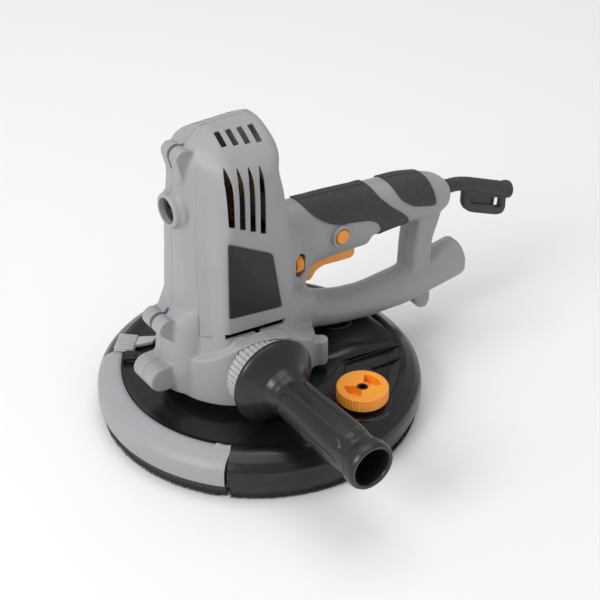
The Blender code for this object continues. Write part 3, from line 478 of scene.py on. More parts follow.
def metal(name, colour, roughness, stretch=(1.0, 1.0, 14.0), scale=500.0):
    """Machined metal with its tool marks."""
    finish = Finish(name, colour, roughness, 1.0)
    marks = finish.noise(scale, 4.0, stretch=stretch)
    finish.tint(finish.remap(finish.noise(60.0, 4.0), 0.4, 0.7, 0.0, 1.0), tuple(c * 0.75 for c in colour), 0.5)
    finish.uneven(marks, roughness - 0.08, roughness + 0.12)
    finish.bump(marks, 0.00004, 0.5)
    return finish


def make_finishes():
    made = {
        "grey_body": moulded("grey_body", (0.355, 0.355, 0.372), 0.46).made(),
        "light_grey": moulded("light_grey", (0.46, 0.46, 0.465), 0.5).made(),
        "dark_plastic": moulded("dark_plastic", (0.04, 0.04, 0.046), 0.48).made(),
        "orange_plastic": moulded("orange_plastic", (1.0, 0.37, 0.035), 0.38, 0.00001).made(),
        "black_gloss": glossy("black_gloss", (0.008, 0.008, 0.01), 0.22).made(),
    }
    rubber = Finish("black_rubber", (0.042, 0.042, 0.047), 0.72)
    rubber.tint(rubber.remap(rubber.noise(220.0, 5.0), 0.45, 0.75, 0.0, 1.0), (0.075, 0.075, 0.08), 0.4)
    rubber.uneven(rubber.noise(300.0, 3.0), 0.62, 0.8)
    rubber.bump(rubber.cells(1500.0), 0.00008, 0.6)
    made["black_rubber"] = rubber.made()
    bristle = Finish("bristle", (0.012, 0.012, 0.013), 0.42)
    bristle.tint(bristle.remap(bristle.noise(700.0, 3.0), 0.45, 0.7, 0.0, 1.0), (0.05, 0.05, 0.052), 0.6)
    bristle.bump(bristle.noise(1200.0, 3.0, stretch=(1.0, 1.0, 0.1)), 0.0001, 0.6)
    made["bristle"] = bristle.made()
    made["steel"] = metal("steel", (0.56, 0.56, 0.57), 0.3).made()
    made["gear_steel"] = metal("gear_steel", (0.32, 0.32, 0.33), 0.38).made()
    cast = metal("cast_aluminium", (0.62, 0.62, 0.63), 0.5, (1.0, 1.0, 1.0), 300.0)
    made["cast_aluminium"] = cast.bump(cast.cells(900.0), 0.0001, 0.4).made()
    made["lamination"] = metal("lamination", (0.3, 0.29, 0.28), 0.42, (1.0, 1.0, 90.0), 40.0).made()
    made["copper"] = metal("copper", (0.42, 0.2, 0.11), 0.32, (90.0, 90.0, 1.0), 30.0).made()
    made["brass"] = metal("brass", (0.78, 0.57, 0.24), 0.34).made()
    carbon = Finish("carbon", (0.03, 0.03, 0.032), 0.62)
    made["carbon"] = carbon.bump(carbon.noise(1800.0, 4.0), 0.00005, 0.6).made()
    board = Finish("circuit_board", (0.02, 0.17, 0.07), 0.35)
    board.tint(board.remap(board.cells(260.0), 0.0, 0.25, 1.0, 0.0), (0.55, 0.4, 0.15), 0.7)
    made["circuit_board"] = board.made()
    grit = Finish("abrasive", (0.22, 0.105, 0.055), 0.9)
    grit.tint(grit.remap(grit.noise(1600.0, 5.0), 0.5, 0.66, 0.0, 1.0), (0.55, 0.33, 0.2), 0.7)
    grit.bump(grit.noise(2400.0, 4.0), 0.0002, 1.0)
    made["abrasive"] = grit.made()
    foam = Finish("foam", (0.045, 0.045, 0.05), 0.95)
    foam.bump(foam.cells(700.0), 0.0003, 0.9)
    made["foam"] = foam.made()
    made["badge_black"] = moulded("badge_black", (0.01, 0.01, 0.012), 0.46, 0.00001).made()
    made["dark_steel"] = metal("dark_steel", (0.05, 0.05, 0.055), 0.35).made()
    made["handle_black"] = glossy("handle_black", (0.016, 0.016, 0.018), 0.3).made()
    return made


finishes = make_finishes()

# ---------------------------------------------------------------- housing


def bend(start, corner, end, steps):
    """Points after the start of a curve that leaves it towards the corner and runs into the end."""
    return [tuple((1 - t) ** 2 * a + 2 * t * (1 - t) * b + t * t * c for a, b, c in zip(start, corner, end))
            for t in np.linspace(1 / steps, 1, steps)]


def straight(start, end, steps):
    return [tuple(a + (b - a) * t for a, b in zip(start, end)) for t in np.linspace(1 / steps, 1, steps)]


def tower_outline(z, inset=0.0):
    """Half the section at height z, front to rear, on the +y side, with a crease between front and side."""
    front, rear, width, knee, crease_x, crease_y, side_x, corner = smooth_at(TOWER, z)
    front, rear, width = front + inset, rear - inset, max(width - inset, 0.0012)
    crease = (crease_x + 0.8 * inset, max(crease_y - 0.6 * inset, 0.0008))
    turn = (front + 0.16 * (crease[0] - front), min(knee, crease[1]))
    side, back = (side_x, width), (rear, width - min(corner, 0.8 * width))
    points = bend((front, 0.0), (front, 0.62 * turn[1]), turn, 12)
    points += straight(turn, crease, 18)
    points += bend(crease, ((crease[0] + side_x) / 2, width - 0.1 * (width - crease[1])), side, 8)
    points += straight(side, (rear - min(corner, 0.8 * width), width), 16)
    points += bend(points[-1], (rear, width), back, 9)
    return points + straight(back, (rear, 0.0), 9)[:-1]


def tower_ring(z, inset=0.0):
    half = tower_outline(z, inset)
    return [(x, y, z) for x, y in half] + [(x, -y, z) for x, y in reversed(half)]


def tower_heights(top):
    return list(np.arange(TOWER[0, 0], 0.2, 0.005)) + list(np.linspace(0.2, top, 36))


def oval(x, centre_z, half_width, half_height, count=64, square=0.82):
    points = []
    for i in range(count):
        angle = 2 * math.pi * (i + 0.5) / count
        c, s = math.cos(angle), math.sin(angle)
        y = math.copysign(abs(c) ** square, c) * half_width
        z = math.copysign(abs(s) ** square, s) * half_height
        points.append((x, y, centre_z + z))
    return points


def grip_rings(grow=0.0, count=64):
    stations = np.concatenate([np.linspace(GRIP[0, 0], 0.156, 60), np.linspace(0.157, GRIP[-1, 0], 14)])
    rings = []
    for x in stations:
        z, w, h = smooth_at(GRIP, x)
        rings.append(oval(x, z, w + grow, h + grow, count))
    return rings


def arm_rings(grow=0.0, start=ARM[0, 0], end=OUTLET_X):
    rings = []
    for x in np.linspace(start, end, 64):
        z, r = smooth_at(ARM, min(x, OUTLET_X))
        rings.append(oval(x, z, r + grow, r + grow, 64, 1.0))
    return rings


def strut_rings():
    rings = []
    for z in np.linspace(STRUT[0, 0], STRUT[-1, 0], 24):
        front, rear, width = smooth_at(STRUT, z)
        corners = [(front, -width), (rear, -width), (rear, width), (front, width)]
        rings.append([(x, y, z) for x, y in rounded(corners, 0.0042, 6)])
    return rings


def cut_to_base_line(case, drop=0.0):
    """Takes off what stands above the gear case's top line, which may be lowered by drop."""
    above = [(x, z - drop) for x, z in BASE_LINE] + [(0.09, 0.13), (-0.12, 0.13)]
    return boolean(case, "DIFFERENCE", [side_prism("above", above, -0.08, 0.08)])


def base_solid():
    """The round gear case, whose top falls away to the front and to the rear."""
    profile = [(BASE_RADIUS, BASE_BOTTOM), (BASE_RADIUS, BASE_CEILING), (0.002, BASE_CEILING)]
    return cut_to_base_line(lathe("base", dense(profile, 0.004), at(BASE_X, 0, 0), 160))


def teardrop(x, z, radius, tail_x, tail_z):
    """A round boss outline whose lower side runs out to a point on the housing."""
    away = math.atan2(tail_z - z, tail_x - x)
    reach = math.dist((x, z), (tail_x, tail_z))
    open_angle = math.acos(radius / reach)
    start, end = away + open_angle, away + 2 * math.pi - open_angle
    points = [(x + radius * math.cos(a), z + radius * math.sin(a)) for a in np.linspace(start, end, 28)]
    return points + [(tail_x, tail_z)]


def housing_lumps():
    """Everything that swells out of the housing's main shapes."""
    lumps = [
        loft("grip", grip_rings()),
        loft("arm", arm_rings()),
        loft("strut", strut_rings()),
        loft("strut_foot", [[(x, y, z) for x, y in rounded([(x0, -w), (x1, -w), (x1, w), (x0, w)], 0.0045, 5)]
                            for z, x0, x1, w in ((0.0233, 0.148, 0.156, 0.005), (0.03, 0.142, 0.1575, 0.0068),
                                                 (0.05, 0.1345, 0.156, 0.0075))]),
        loft("arm_root", [oval(x, z, w, h, 64, 0.8) for x, z, w, h in (
            (-0.005, 0.08, 0.034, 0.026), (0.01, 0.079, 0.03, 0.026), (0.022, 0.076, 0.0235, 0.0245),
            (0.034, 0.071, 0.018, 0.02), (0.042, 0.067, 0.0155, 0.0165))]),
        loft("grip_root", [oval(x, z, w, h, 64, 0.8) for x, z, w, h in (
            (-0.01, 0.119, 0.036, 0.05), (0.004, 0.118, 0.03, 0.046), (0.014, 0.118, 0.0225, 0.042),
            (0.024, 0.123, 0.0195, 0.034))]),
        side_prism("dial_cheek", rounded([(0.008, 0.097), (0.028, 0.0985), (0.0332, 0.108), (0.0345, 0.13),
                                          (0.008, 0.13)], 0.0025, 5), -0.0184, 0.0184),
        loft("nose", [[(-0.06 + reach * math.cos(a), 0.024 * math.sin(a), z)
                       for a in np.linspace(0, 2 * math.pi, 64, endpoint=False)]
                      for z, reach in ((0.044, 0.02), (0.064, 0.024), (0.078, 0.0222), (0.09, 0.0212),
                                       (0.102, 0.0198), (0.112, 0.012))]),
        side_prism("spine_top", [(-0.06, 0.231), (-0.0655, 0.222), (-0.0665, 0.208), (-0.05, 0.208),
                                 (-0.05, 0.23)], -0.0085, 0.0085),
        side_prism("boss_top", teardrop(-0.0625, 0.2265, 0.0062, -0.064, 0.209), -0.01, 0.01),
        side_prism("boss_mid", teardrop(-0.0826, 0.1005, 0.0068, -0.075, 0.085), -0.012, 0.012),
        side_prism("boss_low", rounded([(-0.0985, 0.064), (-0.093, 0.0695), (-0.072, 0.07), (-0.072, 0.05),
                                        (-0.091, 0.05), (-0.0985, 0.056)], 0.005, 6), -0.0125, 0.0125),
        rod("handle_boss", 0.022, 0.0, 0.056, at(HANDLE_X, 0, HANDLE_Z, FACE_MINUS_Y)),
        rod("spare_boss", 0.014, 0.0, 0.057, at(HANDLE_X, 0, HANDLE_Z, FACE_PLUS_Y)),
        lathe("cap_front", [(0.015, 0.025), (0.015, 0.033), (0.013, 0.0356), (0.0124, 0.0385), (0.0118, 0.0392)],
              at(MOTOR_X, 0, CAP_Z, FACE_MINUS_X), 64),
        lathe("cap_rear", [(0.015, 0.025), (0.015, 0.0365), (0.0128, 0.039), (0.0124, 0.0424), (0.0118, 0.043)],
              at(MOTOR_X, 0, CAP_Z, FACE_X), 64),
    ]
    for side in (-1, 1):
        y0, y1 = sorted((side * 0.03, side * 0.04))
        lumps.append(rod(f"column_{side}", 0.0052, BASE_BOTTOM, 0.0625, at(0.029, side * 0.037, 0)))
        lumps.append(box(f"column_web_{side}", (0.01, y0, BASE_BOTTOM), (0.029, y1, 0.062)))
    return lumps


def housing_hollow():
    """The inside, with a thinner wall where the louvres are."""
    hollow = loft("hollow", [tower_ring(z, WALL - 0.0011 * smoothstep(z, 0.165, 0.175))
                             for z in tower_heights(0.2388)])
    case = rod("hollow_base", BASE_RADIUS - WALL, 0.04, BASE_CEILING, at(BASE_X, 0, 0), 96)
    cut_to_base_line(case, WALL)
    grip = [oval(x, *(smooth_at(GRIP, x) - (0, WALL, WALL)), 48) for x in np.linspace(0.0, 0.162, 30)]
    arm = [oval(x, z, r - WALL, r - WALL, 64, 1.0)
           for x in np.linspace(0.058, OUTLET_X + 0.002, 40)
           for z, r in [smooth_at(ARM, min(x, OUTLET_X))]]
    return boolean(hollow, "UNION", [case, loft("hollow_grip", grip), loft("hollow_arm", arm)])


def vent_cutters():
    """Four tall slots in each side face, four across each shoulder and one low outlet on each side."""
    tall, top, low = [], [], []
    for i in range(4):
        x = -0.0454 + 0.0081 * i
        high, foot = 0.2235 - 0.0012 * i, 0.183 - 0.0043 * i
        outline = [(x - 0.0024, foot + 0.001), (x + 0.0026, foot - 0.001), (x + 0.0026, high - 0.017),
                   (x + 0.0022, high - 0.009), (x + 0.0016, high - 0.0035), (x + 0.001, high),
                   (x + 0.0002, high), (x - 0.001, high - 0.0035), (x - 0.002, high - 0.009)]
        tall.append(side_prism(f"tall_{i}", rounded(outline, 0.0006, 3), -0.06, 0.06))
        x = -0.0365 + 0.0083 * i
        for side in (-1, 1):
            near, far = side * (0.0084 + 0.0007 * i), side * (0.0198 + 0.0013 * i)
            outline = rounded([(x - 0.0022, near), (x + 0.0022, near), (x + 0.0014, far), (x - 0.003, far)],
                              0.0005, 3)
            top.append(prism(f"shoulder_{i}_{side}", outline, 0.205, 0.25))
    for side in (-1, 1):
        outline = [(-0.053, 0.0955), (-0.005, 0.0905), (-0.004, 0.095), (-0.053, 0.0997)]
        low.append(beside(f"outlet_{side}", rounded(outline, 0.0006, 3), side, 0.034, 0.044))
    return [bundle("tall_slots", tall), bundle("shoulder_slots", top), bundle("outlet_slots", low)]


def groove_cutter(side):
    """The shallow flute down each front corner, deepest at its outer edge, with a square foot."""
    rings = []
    for z in np.linspace(0.094, 0.223, 44):
        front, _, _, knee, crease_x, crease_y, _, _ = smooth_at(TOWER, z)
        start = Vector((front + 0.16 * (crease_x - front), knee))
        along = Vector((crease_x, crease_y)) - start
        out = Vector((-along.y, along.x)).normalized()
        narrow = smoothstep(z, 0.15, 0.223)
        inner, outer = 0.4 + 0.2 * narrow, 0.8 + 0.02 * narrow
        deep = 0.002 * (1.0 - smoothstep(z, 0.13, 0.205)) + 0.0001
        ring = []
        for share, lift in ((inner, 0.0015), (inner, -0.0001), (outer - 0.03, -deep), (outer, -0.9 * deep),
                            (outer + 0.015, 0.0015)):
            x, y = start + along * share + out * lift
            ring.append((x, side * y, z))
        rings.append(ring)
    return loft(f"groove_{side}", rings)


def badge_outline(grow=0.0):
    corners = [(-0.0505 - grow, 0.1125 - grow), (-0.007 + grow, 0.1065 - grow), (-0.0145 + grow, 0.1525 + grow),
               (-0.05 - grow, 0.1725 + grow)]
    return rounded(corners, 0.0024 + grow, 6)


def detail_cutters():
    """Holes and recesses for what the housing carries."""
    window = [(DIAL_CENTRE.x + 0.005 * a, DIAL_CENTRE.z + 0.0105 * b)
              for a, b in ((-1, -0.62), (0, -1), (1, -0.62), (1, 0.66), (0, 1), (-1, 0.66))]
    lock = at(LOCK_CENTRE.x, 0, LOCK_CENTRE.z, FACE_MINUS_Y)
    cutters = [
        box("slot_trigger", (0.034, -0.0088, 0.09), (0.0824, 0.0088, 0.1165)),
        side_prism("window", rounded(window, 0.0008, 3), -0.03, -0.01),
        rod("hole_lock", 0.006, 0.01, 0.03, lock),
        rod("hole_cap_front", 0.0094, 0.028, 0.06, at(MOTOR_X, 0, CAP_Z, FACE_MINUS_X)),
        rod("hole_cap_rear", 0.0094, 0.028, 0.06, at(MOTOR_X, 0, CAP_Z, FACE_X)),
        rod("hole_guard", 0.0066, 0.15, 0.175, at(0, 0, GUARD_Z, FACE_X)),
        rod("hole_stud", THREAD_RADIUS, -0.06, 0.06, at(HANDLE_X, 0, HANDLE_Z, FACE_PLUS_Y)),
        side_prism("slot_boss_top", rounded([(-0.08, 0.217), (-0.058, 0.217), (-0.056, 0.232),
                                             (-0.08, 0.24)], 0.001, 3), -0.0016, 0.0016),
        side_prism("slot_boss_mid", rounded([(-0.096, 0.092), (-0.076, 0.092), (-0.0735, 0.109),
                                             (-0.096, 0.109)], 0.001, 3), -0.0016, 0.0016),
        lathe("collar_socket", [(0.0223, 0.047), (0.028, 0.047), (0.028, 0.06), (0.0223, 0.06)],
              at(HANDLE_X, 0, HANDLE_Z, FACE_MINUS_Y), 128, True),
        groove_cutter(-1),
        groove_cutter(1),
    ]
    return cutters + [beside(f"badge_seat_{side}", badge_outline(0.0004), side, TOWER_HALF - 0.0002, 0.046)
                      for side in (-1, 1)]


def screw_places():
    """The four clamshell screws, driven in from the +Y side: name, x, z, face y, head radius."""
    places = []
    for name in ("screw_top", "screw_mid", "screw_low", "screw_strut"):
        low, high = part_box(name)
        places.append((name, (low.x + high.x) / 2, (low.z + high.z) / 2, high.y, (high.x - low.x) / 2))
    return places


def build_housing():
    shell = loft("shell", [tower_ring(z) for z in tower_heights(TOWER[-1, 0])])
    boolean(shell, "UNION", [base_solid(), *housing_lumps()])
    melt(shell, HOUSING_VOXEL, 4)
    ring_lock = lathe("ring_lock", [(0.0086, 0.01), (0.0086, 0.0196), (0.0082, 0.0205), (0.0074, 0.0207),
                                    (0.0066, 0.0203)], at(LOCK_CENTRE.x, 0, LOCK_CENTRE.z, FACE_MINUS_Y), 72)
    boolean(shell, "UNION", [ring_lock])
    boolean(shell, "DIFFERENCE", [housing_hollow(), *vent_cutters(), *detail_cutters()])
    flat_foot = box("flat_foot", (-0.2, -0.2, 0.0), (0.05, 0.2, BASE_BOTTOM))
    boolean(shell, "DIFFERENCE", [flat_foot])
    outlet = box("outlet_trim", (OUTLET_X, -0.1, 0.0), (0.3, 0.1, 0.2))
    boolean(shell, "DIFFERENCE", [outlet])
    holes = []
    for name, x, z, y, head in screw_places():
        holes.append(rod(f"shank_{name}", 0.0018, -0.009, 0.03, at(x, 0, z, FACE_PLUS_Y), 24))
        holes.append(rod(f"sink_{name}", head + 0.0005, y - 0.0028, 0.03, at(x, 0, z, FACE_PLUS_Y), 36))
    boolean(shell, "DIFFERENCE", holes)
    for name, low, high in (("housing_left", -0.2, -GAP / 2), ("housing_right", GAP / 2, 0.2)):
        half = bpy.data.objects.new(name + "_shell", shell.data.copy())
        bpy.context.scene.collection.objects.link(half)
        keep = box("keep", (-0.3, low, -0.1), (0.4, high, 0.4))
        boolean(half, "INTERSECT", [keep])
        dress(half, finishes["grey_body"], "grey_body", "root", name, sharp=38.0)
    bpy.data.objects.remove(shell, do_unlink=True)


# ---------------------------------------------------------------- plates, pads and controls


def build_badges():
    """Blank plates set into the sides of the tower."""
    for name, side in (("badge_left", -1), ("badge_right", 1)):
        near = TOWER_HALF + GAP
        plate = beside(name + "_plate", badge_outline(-0.0002), side, near, near + 0.0009)
        dress(ease(plate, 0.0004), finishes["badge_black"], "dark_plastic", "root", name)


def build_grip_pads():
    """Soft overmoulded panels that stand just proud of the grip."""
    front = [(0.031, 0.164), (0.036, 0.154), (0.043, 0.147), (0.05, 0.142), (0.057, 0.139),
             (0.07, 0.1365), (0.085, 0.133), (0.093, 0.128), (0.099, 0.118), (0.101, 0.106),
             (0.124, 0.106), (0.125, 0.116), (0.121, 0.1235), (0.106, 0.1365), (0.096, 0.147),
             (0.09, 0.164)]
    rear = [(0.109, 0.164), (0.1115, 0.148), (0.1155, 0.1385), (0.1258, 0.1303), (0.14, 0.1255),
            (0.149, 0.1235), (0.1475, 0.131), (0.145, 0.142), (0.148, 0.164)]
    for place, outline in (("front", front), ("rear", rear)):
        for side, low, high in (("left", -0.03, -0.0003), ("right", 0.0003, 0.03)):
            pad = loft(f"grip_pad_{place}_{side}_skin", grip_rings(0.001, 128))
            trim = side_prism("trim", rounded(outline, 0.004, 6), low, high)
            boolean(pad, "INTERSECT", [trim])
            boolean(pad, "DIFFERENCE", [loft("core", grip_rings(-0.0006, 128))])
            dress(pad, finishes["black_rubber"], "black_rubber", "root", f"grip_pad_{place}_{side}", sharp=40.0)


def build_trigger():
    """A long paddle with a hooked toe and a softened finger edge."""
    outline = [(0.0358, 0.1085), (0.0358, 0.0945), (0.038, 0.0925), (0.041, 0.093), (0.0455, 0.099),
               (0.052, 0.101), (0.068, 0.0992), (0.077, 0.0985), (0.08, 0.1005), (0.0803, 0.1085),
               (0.05, 0.1145), (0.038, 0.1145)]
    paddle = side_prism("trigger_paddle", rounded(outline, 0.0018, 5), -0.0079, 0.0079)
    dress(ease(paddle, 0.0014, 4), finishes["orange_plastic"], "orange_plastic", "trigger_body", "trigger")


def build_lock_button():
    profile = [(0.0051, 0.0146), (0.0054, 0.015), (0.0054, 0.0205), (0.0051, 0.0214), (0.0044, 0.0218),
               (0.003, 0.02165), (0.0015, 0.0216)]
    button = lathe("lock_cap", profile, at(LOCK_CENTRE.x, 0, LOCK_CENTRE.z, FACE_MINUS_Y), 72)
    dress(button, finishes["orange_plastic"], "orange_plastic", "lock_body", "lock_button")


def build_speed_dial():
    """A thumbwheel whose rim is cut into fine teeth."""

    def teeth(r, h, angle):
        notch = 0.5 + 0.5 * math.cos(26 * angle)
        return (r - (0.0006 * (1 - notch ** 0.6) if r > 0.0065 else 0.0), h, angle)

    profile = [(0.002, -0.003), (0.0068, -0.003), (0.0073, -0.0025), (0.0073, 0.0025), (0.0068, 0.003),
               (0.002, 0.003)]
    wheel = lathe("dial_wheel", profile, at(*DIAL_CENTRE, FACE_X), 208, shape=teeth)
    dress(wheel, finishes["orange_plastic"], "orange_plastic", "dial_body", "speed_dial")


def build_cord_guard():
    """Strain relief that arches and droops to a flared end, with the key holder moulded under it."""
    path = np.array((
        (0.156, GUARD_Z, 0.0082), (0.1588, GUARD_Z, 0.0082), (0.1594, GUARD_Z, 0.006),
        (0.17, GUARD_Z, 0.0058), (0.179, 0.123, 0.0056), (0.19, 0.12, 0.0055),
        (0.201, 0.1155, 0.0055), (0.214, 0.1098, 0.0056), (0.227, 0.104, 0.0058),
        (0.23, 0.1026, 0.0063), (0.232, 0.1017, 0.007), (0.235, 0.1003, 0.007),
    ))
    stations = np.concatenate([np.linspace(0.156, 0.16, 12), np.linspace(0.1604, 0.235, 90)])

    def rings(radius_at):
        found = []
        for x in stations:
            z, r = smooth_at(path, x)
            rise = (smooth_at(path, min(x + 0.001, 0.235))[0] - smooth_at(path, max(x - 0.001, 0.156))[0]) / 0.002
            up = Vector((-rise, 0, 1)).normalized()
            reach = float(radius_at(x, r))
            found.append([Vector((x, 0, z)) + reach * (math.cos(a) * Vector((0, 1, 0)) + math.sin(a) * up)
                          for a in (2 * math.pi * k / 40 for k in range(40))])
        return found

    def ribbed(x, r):
        nearness = smoothstep(x, 0.164, 0.168) * (1 - smoothstep(x, 0.182, 0.186))
        return r - 0.0004 * nearness * (0.5 + 0.5 * math.sin(2 * math.pi * x / 0.003))

    guard = loft("guard_sleeve", rings(ribbed))
    plate = [(0.189, 0.1195), (0.1885, 0.103), (0.192, 0.0965), (0.1975, 0.093), (0.2235, 0.0818),
             (0.23, 0.0812), (0.2325, 0.085), (0.2325, 0.0985), (0.227, 0.104)]
    eye = [(0.22, 0.099), (0.2195, 0.0905), (0.2275, 0.0872), (0.228, 0.096)]
    groove = [(0.195, 0.1085), (0.195, 0.102), (0.2185, 0.0925), (0.2185, 0.099)]
    holder = ease(side_prism("holder", rounded(plate, 0.0032, 6), -0.0026, 0.0026), 0.0006, 2)
    boolean(guard, "UNION", [holder])
    recesses = [beside(f"groove_{side}", rounded(groove, 0.0006, 3), side, 0.0012, 0.01) for side in (-1, 1)]
    cord_radius = 0.0037
    bore = loft("bore", rings(lambda x, r: cord_radius)[:-6])
    droop = Matrix.Rotation(math.radians(115.0), 4, "Y")
    mouth = rod("mouth", cord_radius, -0.012, 0.004, at(0.235, 0, 0.1003, droop), 40)
    key_hole = side_prism("eye", rounded(eye, 0.0012, 4), -0.01, 0.01)
    boolean(guard, "DIFFERENCE", [key_hole, *recesses, bore, mouth])
    dress(guard, finishes["black_rubber"], "black_rubber", "root", "cord_guard", sharp=36.0)


def build_screws():
    """Pan heads with a cross recess."""
    for name, x, z, y, head in screw_places():
        matrix = at(x, 0, z, FACE_PLUS_Y)
        profile = [(0.0014, -0.008), (0.0014, y - 0.0022), (head, y - 0.0022), (head, y - 0.001),
                   (head * 0.86, y - 0.0003), (head * 0.5, y), (head * 0.2, y)]
        screw = lathe(name + "_head", profile, matrix, 48)
        arms = [box(f"arm_{k}", (-0.0018, -0.00035, y - 0.0012), (0.0018, 0.00035, y + 0.002),
                    matrix @ Matrix.Rotation(math.radians(45 + 90 * k), 4, "Z")) for k in range(2)]
        boolean(screw, "DIFFERENCE", arms)
        dress(screw, finishes["steel"], "steel", "root", name)


def build_brush_caps():
    """Screw-in caps over the motor's carbon brushes, slotted for a coin."""
    for way, turn in (("front", FACE_MINUS_X), ("rear", FACE_X)):
        low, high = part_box(f"brush_cap_{way}")
        top = max(abs(low.x - MOTOR_X), abs(high.x - MOTOR_X))

        def thread(r, h, angle):
            turns = angle + 2 * math.pi * h / 0.0012
            return (r - (0.0003 * (0.5 + 0.5 * math.sin(turns)) if r > 0.0086 else 0), h, angle)

        place = at(MOTOR_X, 0, CAP_Z, turn)
        profile = [(0.0084, 0.0295), (0.0088, 0.03), (0.0088, top - 0.0014), (0.0084, top - 0.0004),
                   (0.0074, top), (0.0064, top - 0.0006), (0.006, top - 0.0014), (0.001, top - 0.0014)]
        cap = lathe(f"brush_cap_{way}_disc", dense(profile, 0.0003), place, 96, shape=thread)
        slot = box("slot", (-0.0008, -0.0056, top - 0.0032), (0.0008, 0.0056, top + 0.01), place)
        boolean(cap, "DIFFERENCE", [slot])
        dress(cap, finishes["badge_black"], "dark_plastic", "root", f"brush_cap_{way}")


# ---------------------------------------------------------------- shroud, flap and brushes


def shroud_line():
    """The shroud's cross-section as (radius, height), upper face outwards and back along the inside."""
    upper = [(0.024, 0.0375), (0.059, 0.0375), (0.064, 0.0338), (0.098, 0.0325), (0.1006, 0.0333),
             (0.104, 0.034), (0.108, 0.033), (0.115, 0.0286), (0.119, 0.0245), (0.12, 0.02),
             (0.12, 0.011)]
    lower = [(0.1085, 0.011), (0.1085, 0.017), (0.113, 0.023), (0.104, 0.0298), (0.064, 0.0308),
             (0.059, 0.0345), (0.024, 0.0345)]
    return rounded(upper + lower, 0.0012, 4)


def hump(name, inset=0.0, drop=0.0):
    """The low dust channel over the rear of the deck, square-shouldered across."""
    rings = []
    for x in np.linspace(HUMP[0, 0], HUMP[-1, 0], 48):
        half, top, foot = smooth_at(HUMP, x)
        ring = []
        for angle in np.linspace(0.0, math.pi, 57):
            c, s = math.cos(angle), math.sin(angle)
            y = (half - inset) * math.copysign(abs(c) ** 0.55, c)
            ring.append((x, y, foot - drop + (top - inset - foot) * abs(s) ** 0.55))
        rings.append(ring)
    return loft(name, rings)


def deck_ribs():
    """Raised strips moulded along the dust channel's foot, and the low walls beside them."""
    ribs = []
    for x0, y0, x1, y1, width, top in (
            (0.04, -0.041, 0.096, -0.0455, 0.001, 0.0352), (0.062, -0.056, 0.086, -0.058, 0.0026, 0.0347),
            (0.04, 0.041, 0.096, 0.0455, 0.001, 0.0352)):
        along = math.atan2(y1 - y0, x1 - x0)
        length = math.hypot(x1 - x0, y1 - y0)
        turn = at(x0, y0, 0, Matrix.Rotation(along, 4, "Z"))
        ribs.append(ease(box("strip", (0, -width / 2, 0.0318), (length, width / 2, top), turn), 0.0003, 2))
    return ribs


def ring_sector(name, inner, outer, half, middle, low, high, steps=90):
    a, b = math.degrees(middle - half), math.degrees(middle + half)
    return prism(name, circle((0, 0), outer, a, b, steps) + circle((0, 0), inner, b, a, steps), low, high)


def build_shroud():
    shroud = lathe("shroud_shell", dense(shroud_line(), 0.0016), UPRIGHT, 420, True)
    under_knob = at(KNOB_CENTRE.x, KNOB_CENTRE.y, 0)
    boss = lathe("boss", [(0.0152, 0.032), (0.015, 0.0362), (0.0144, 0.037), (0.006, 0.037)], under_knob, 96)
    pad = lathe("pad", [(0.0215, 0.0315), (0.0213, 0.0336), (0.0207, 0.034), (0.006, 0.034)], under_knob, 96)
    ring = rounded([(0.008, 0.032), (0.0138, 0.032), (0.0138, 0.043), (0.008, 0.043)], 0.0006, 3)
    socket = lathe("socket", ring, at(PORT_X, 0, 0), 96, True)
    by_latch = Matrix.Rotation(LATCH_ANGLE + math.radians(8.0), 4, "Z")
    stop = ease(box("stop", (0.0915, -0.005, 0.0318), (0.1, 0.005, 0.0368), by_latch), 0.0005, 2)
    step = ease(box("step", (0.088, -0.0065, 0.0318), (0.098, 0.006, 0.0348), by_latch), 0.0005, 2)
    boolean(shroud, "UNION", [hump("hump"), pad, boss, socket, stop, step, *deck_ribs()])
    boolean(shroud, "DIFFERENCE", [
        hump("hump_inside", 0.0026, 0.0045),
        loft("arm_clearance", arm_rings(0.0006, 0.04, 0.12)),
        ring_sector("flap_gap", FLAP_INNER, 0.13, FLAP_HALF, FLAP_MIDDLE, 0.0, 0.06),
        rod("port", 0.0115, 0.025, 0.045, at(PORT_X, 0, 0)),
        rod("screw", 0.0024, 0.02, 0.04, under_knob, 32),
    ])
    dress(shroud, finishes["black_gloss"], "black_gloss", "root", "shroud", sharp=34.0)


def build_flap():
    """The sliding grey edge piece. Its front end is slanted and has a raised finger tab on the inner edge."""
    upper = [(0.1017, 0.03), (0.1018, 0.0334), (0.1045, 0.0343), (0.108, 0.0332), (0.115, 0.0289),
             (0.119, 0.0248), (0.12, 0.0202), (0.12, 0.011)]
    lower = [(0.118, 0.011), (0.1179, 0.0196), (0.1136, 0.0262), (0.104, 0.0312)]
    outline = dense(rounded(upper + lower, 0.001, 4), 0.0012)
    start, end = FLAP_MIDDLE - FLAP_HALF + 0.004, FLAP_MIDDLE + FLAP_HALF - 0.004

    def ends(r, h, angle):
        share = (angle - start) / (end - start)
        slant = 0.03 * smoothstep(share, 0.9, 1.0) * (1.0 - smoothstep(r, 0.103, 0.112))
        pull = 0.012 * smoothstep(share, 0.9, 1.0) * smoothstep(r, 0.109, 0.119)
        tab = smoothstep(share, 0.925, 0.935) * (1 - smoothstep(r, 0.104, 0.1062)) * smoothstep(h, 0.0318, 0.0335)
        wave = 0.7 + 0.3 * math.cos((share - 0.93) * 90.0)
        shift = min(slant - pull, end + 0.0035 - angle) if slant > pull else -pull
        return (r, h + 0.0016 * tab * wave, angle + shift)

    flap = lathe("flap_shell", outline, UPRIGHT, 320, shape=ends, arc=(start, end))
    dress(flap, finishes["grey_body"], "grey_body", "flap_body", "edge_flap", sharp=40.0)


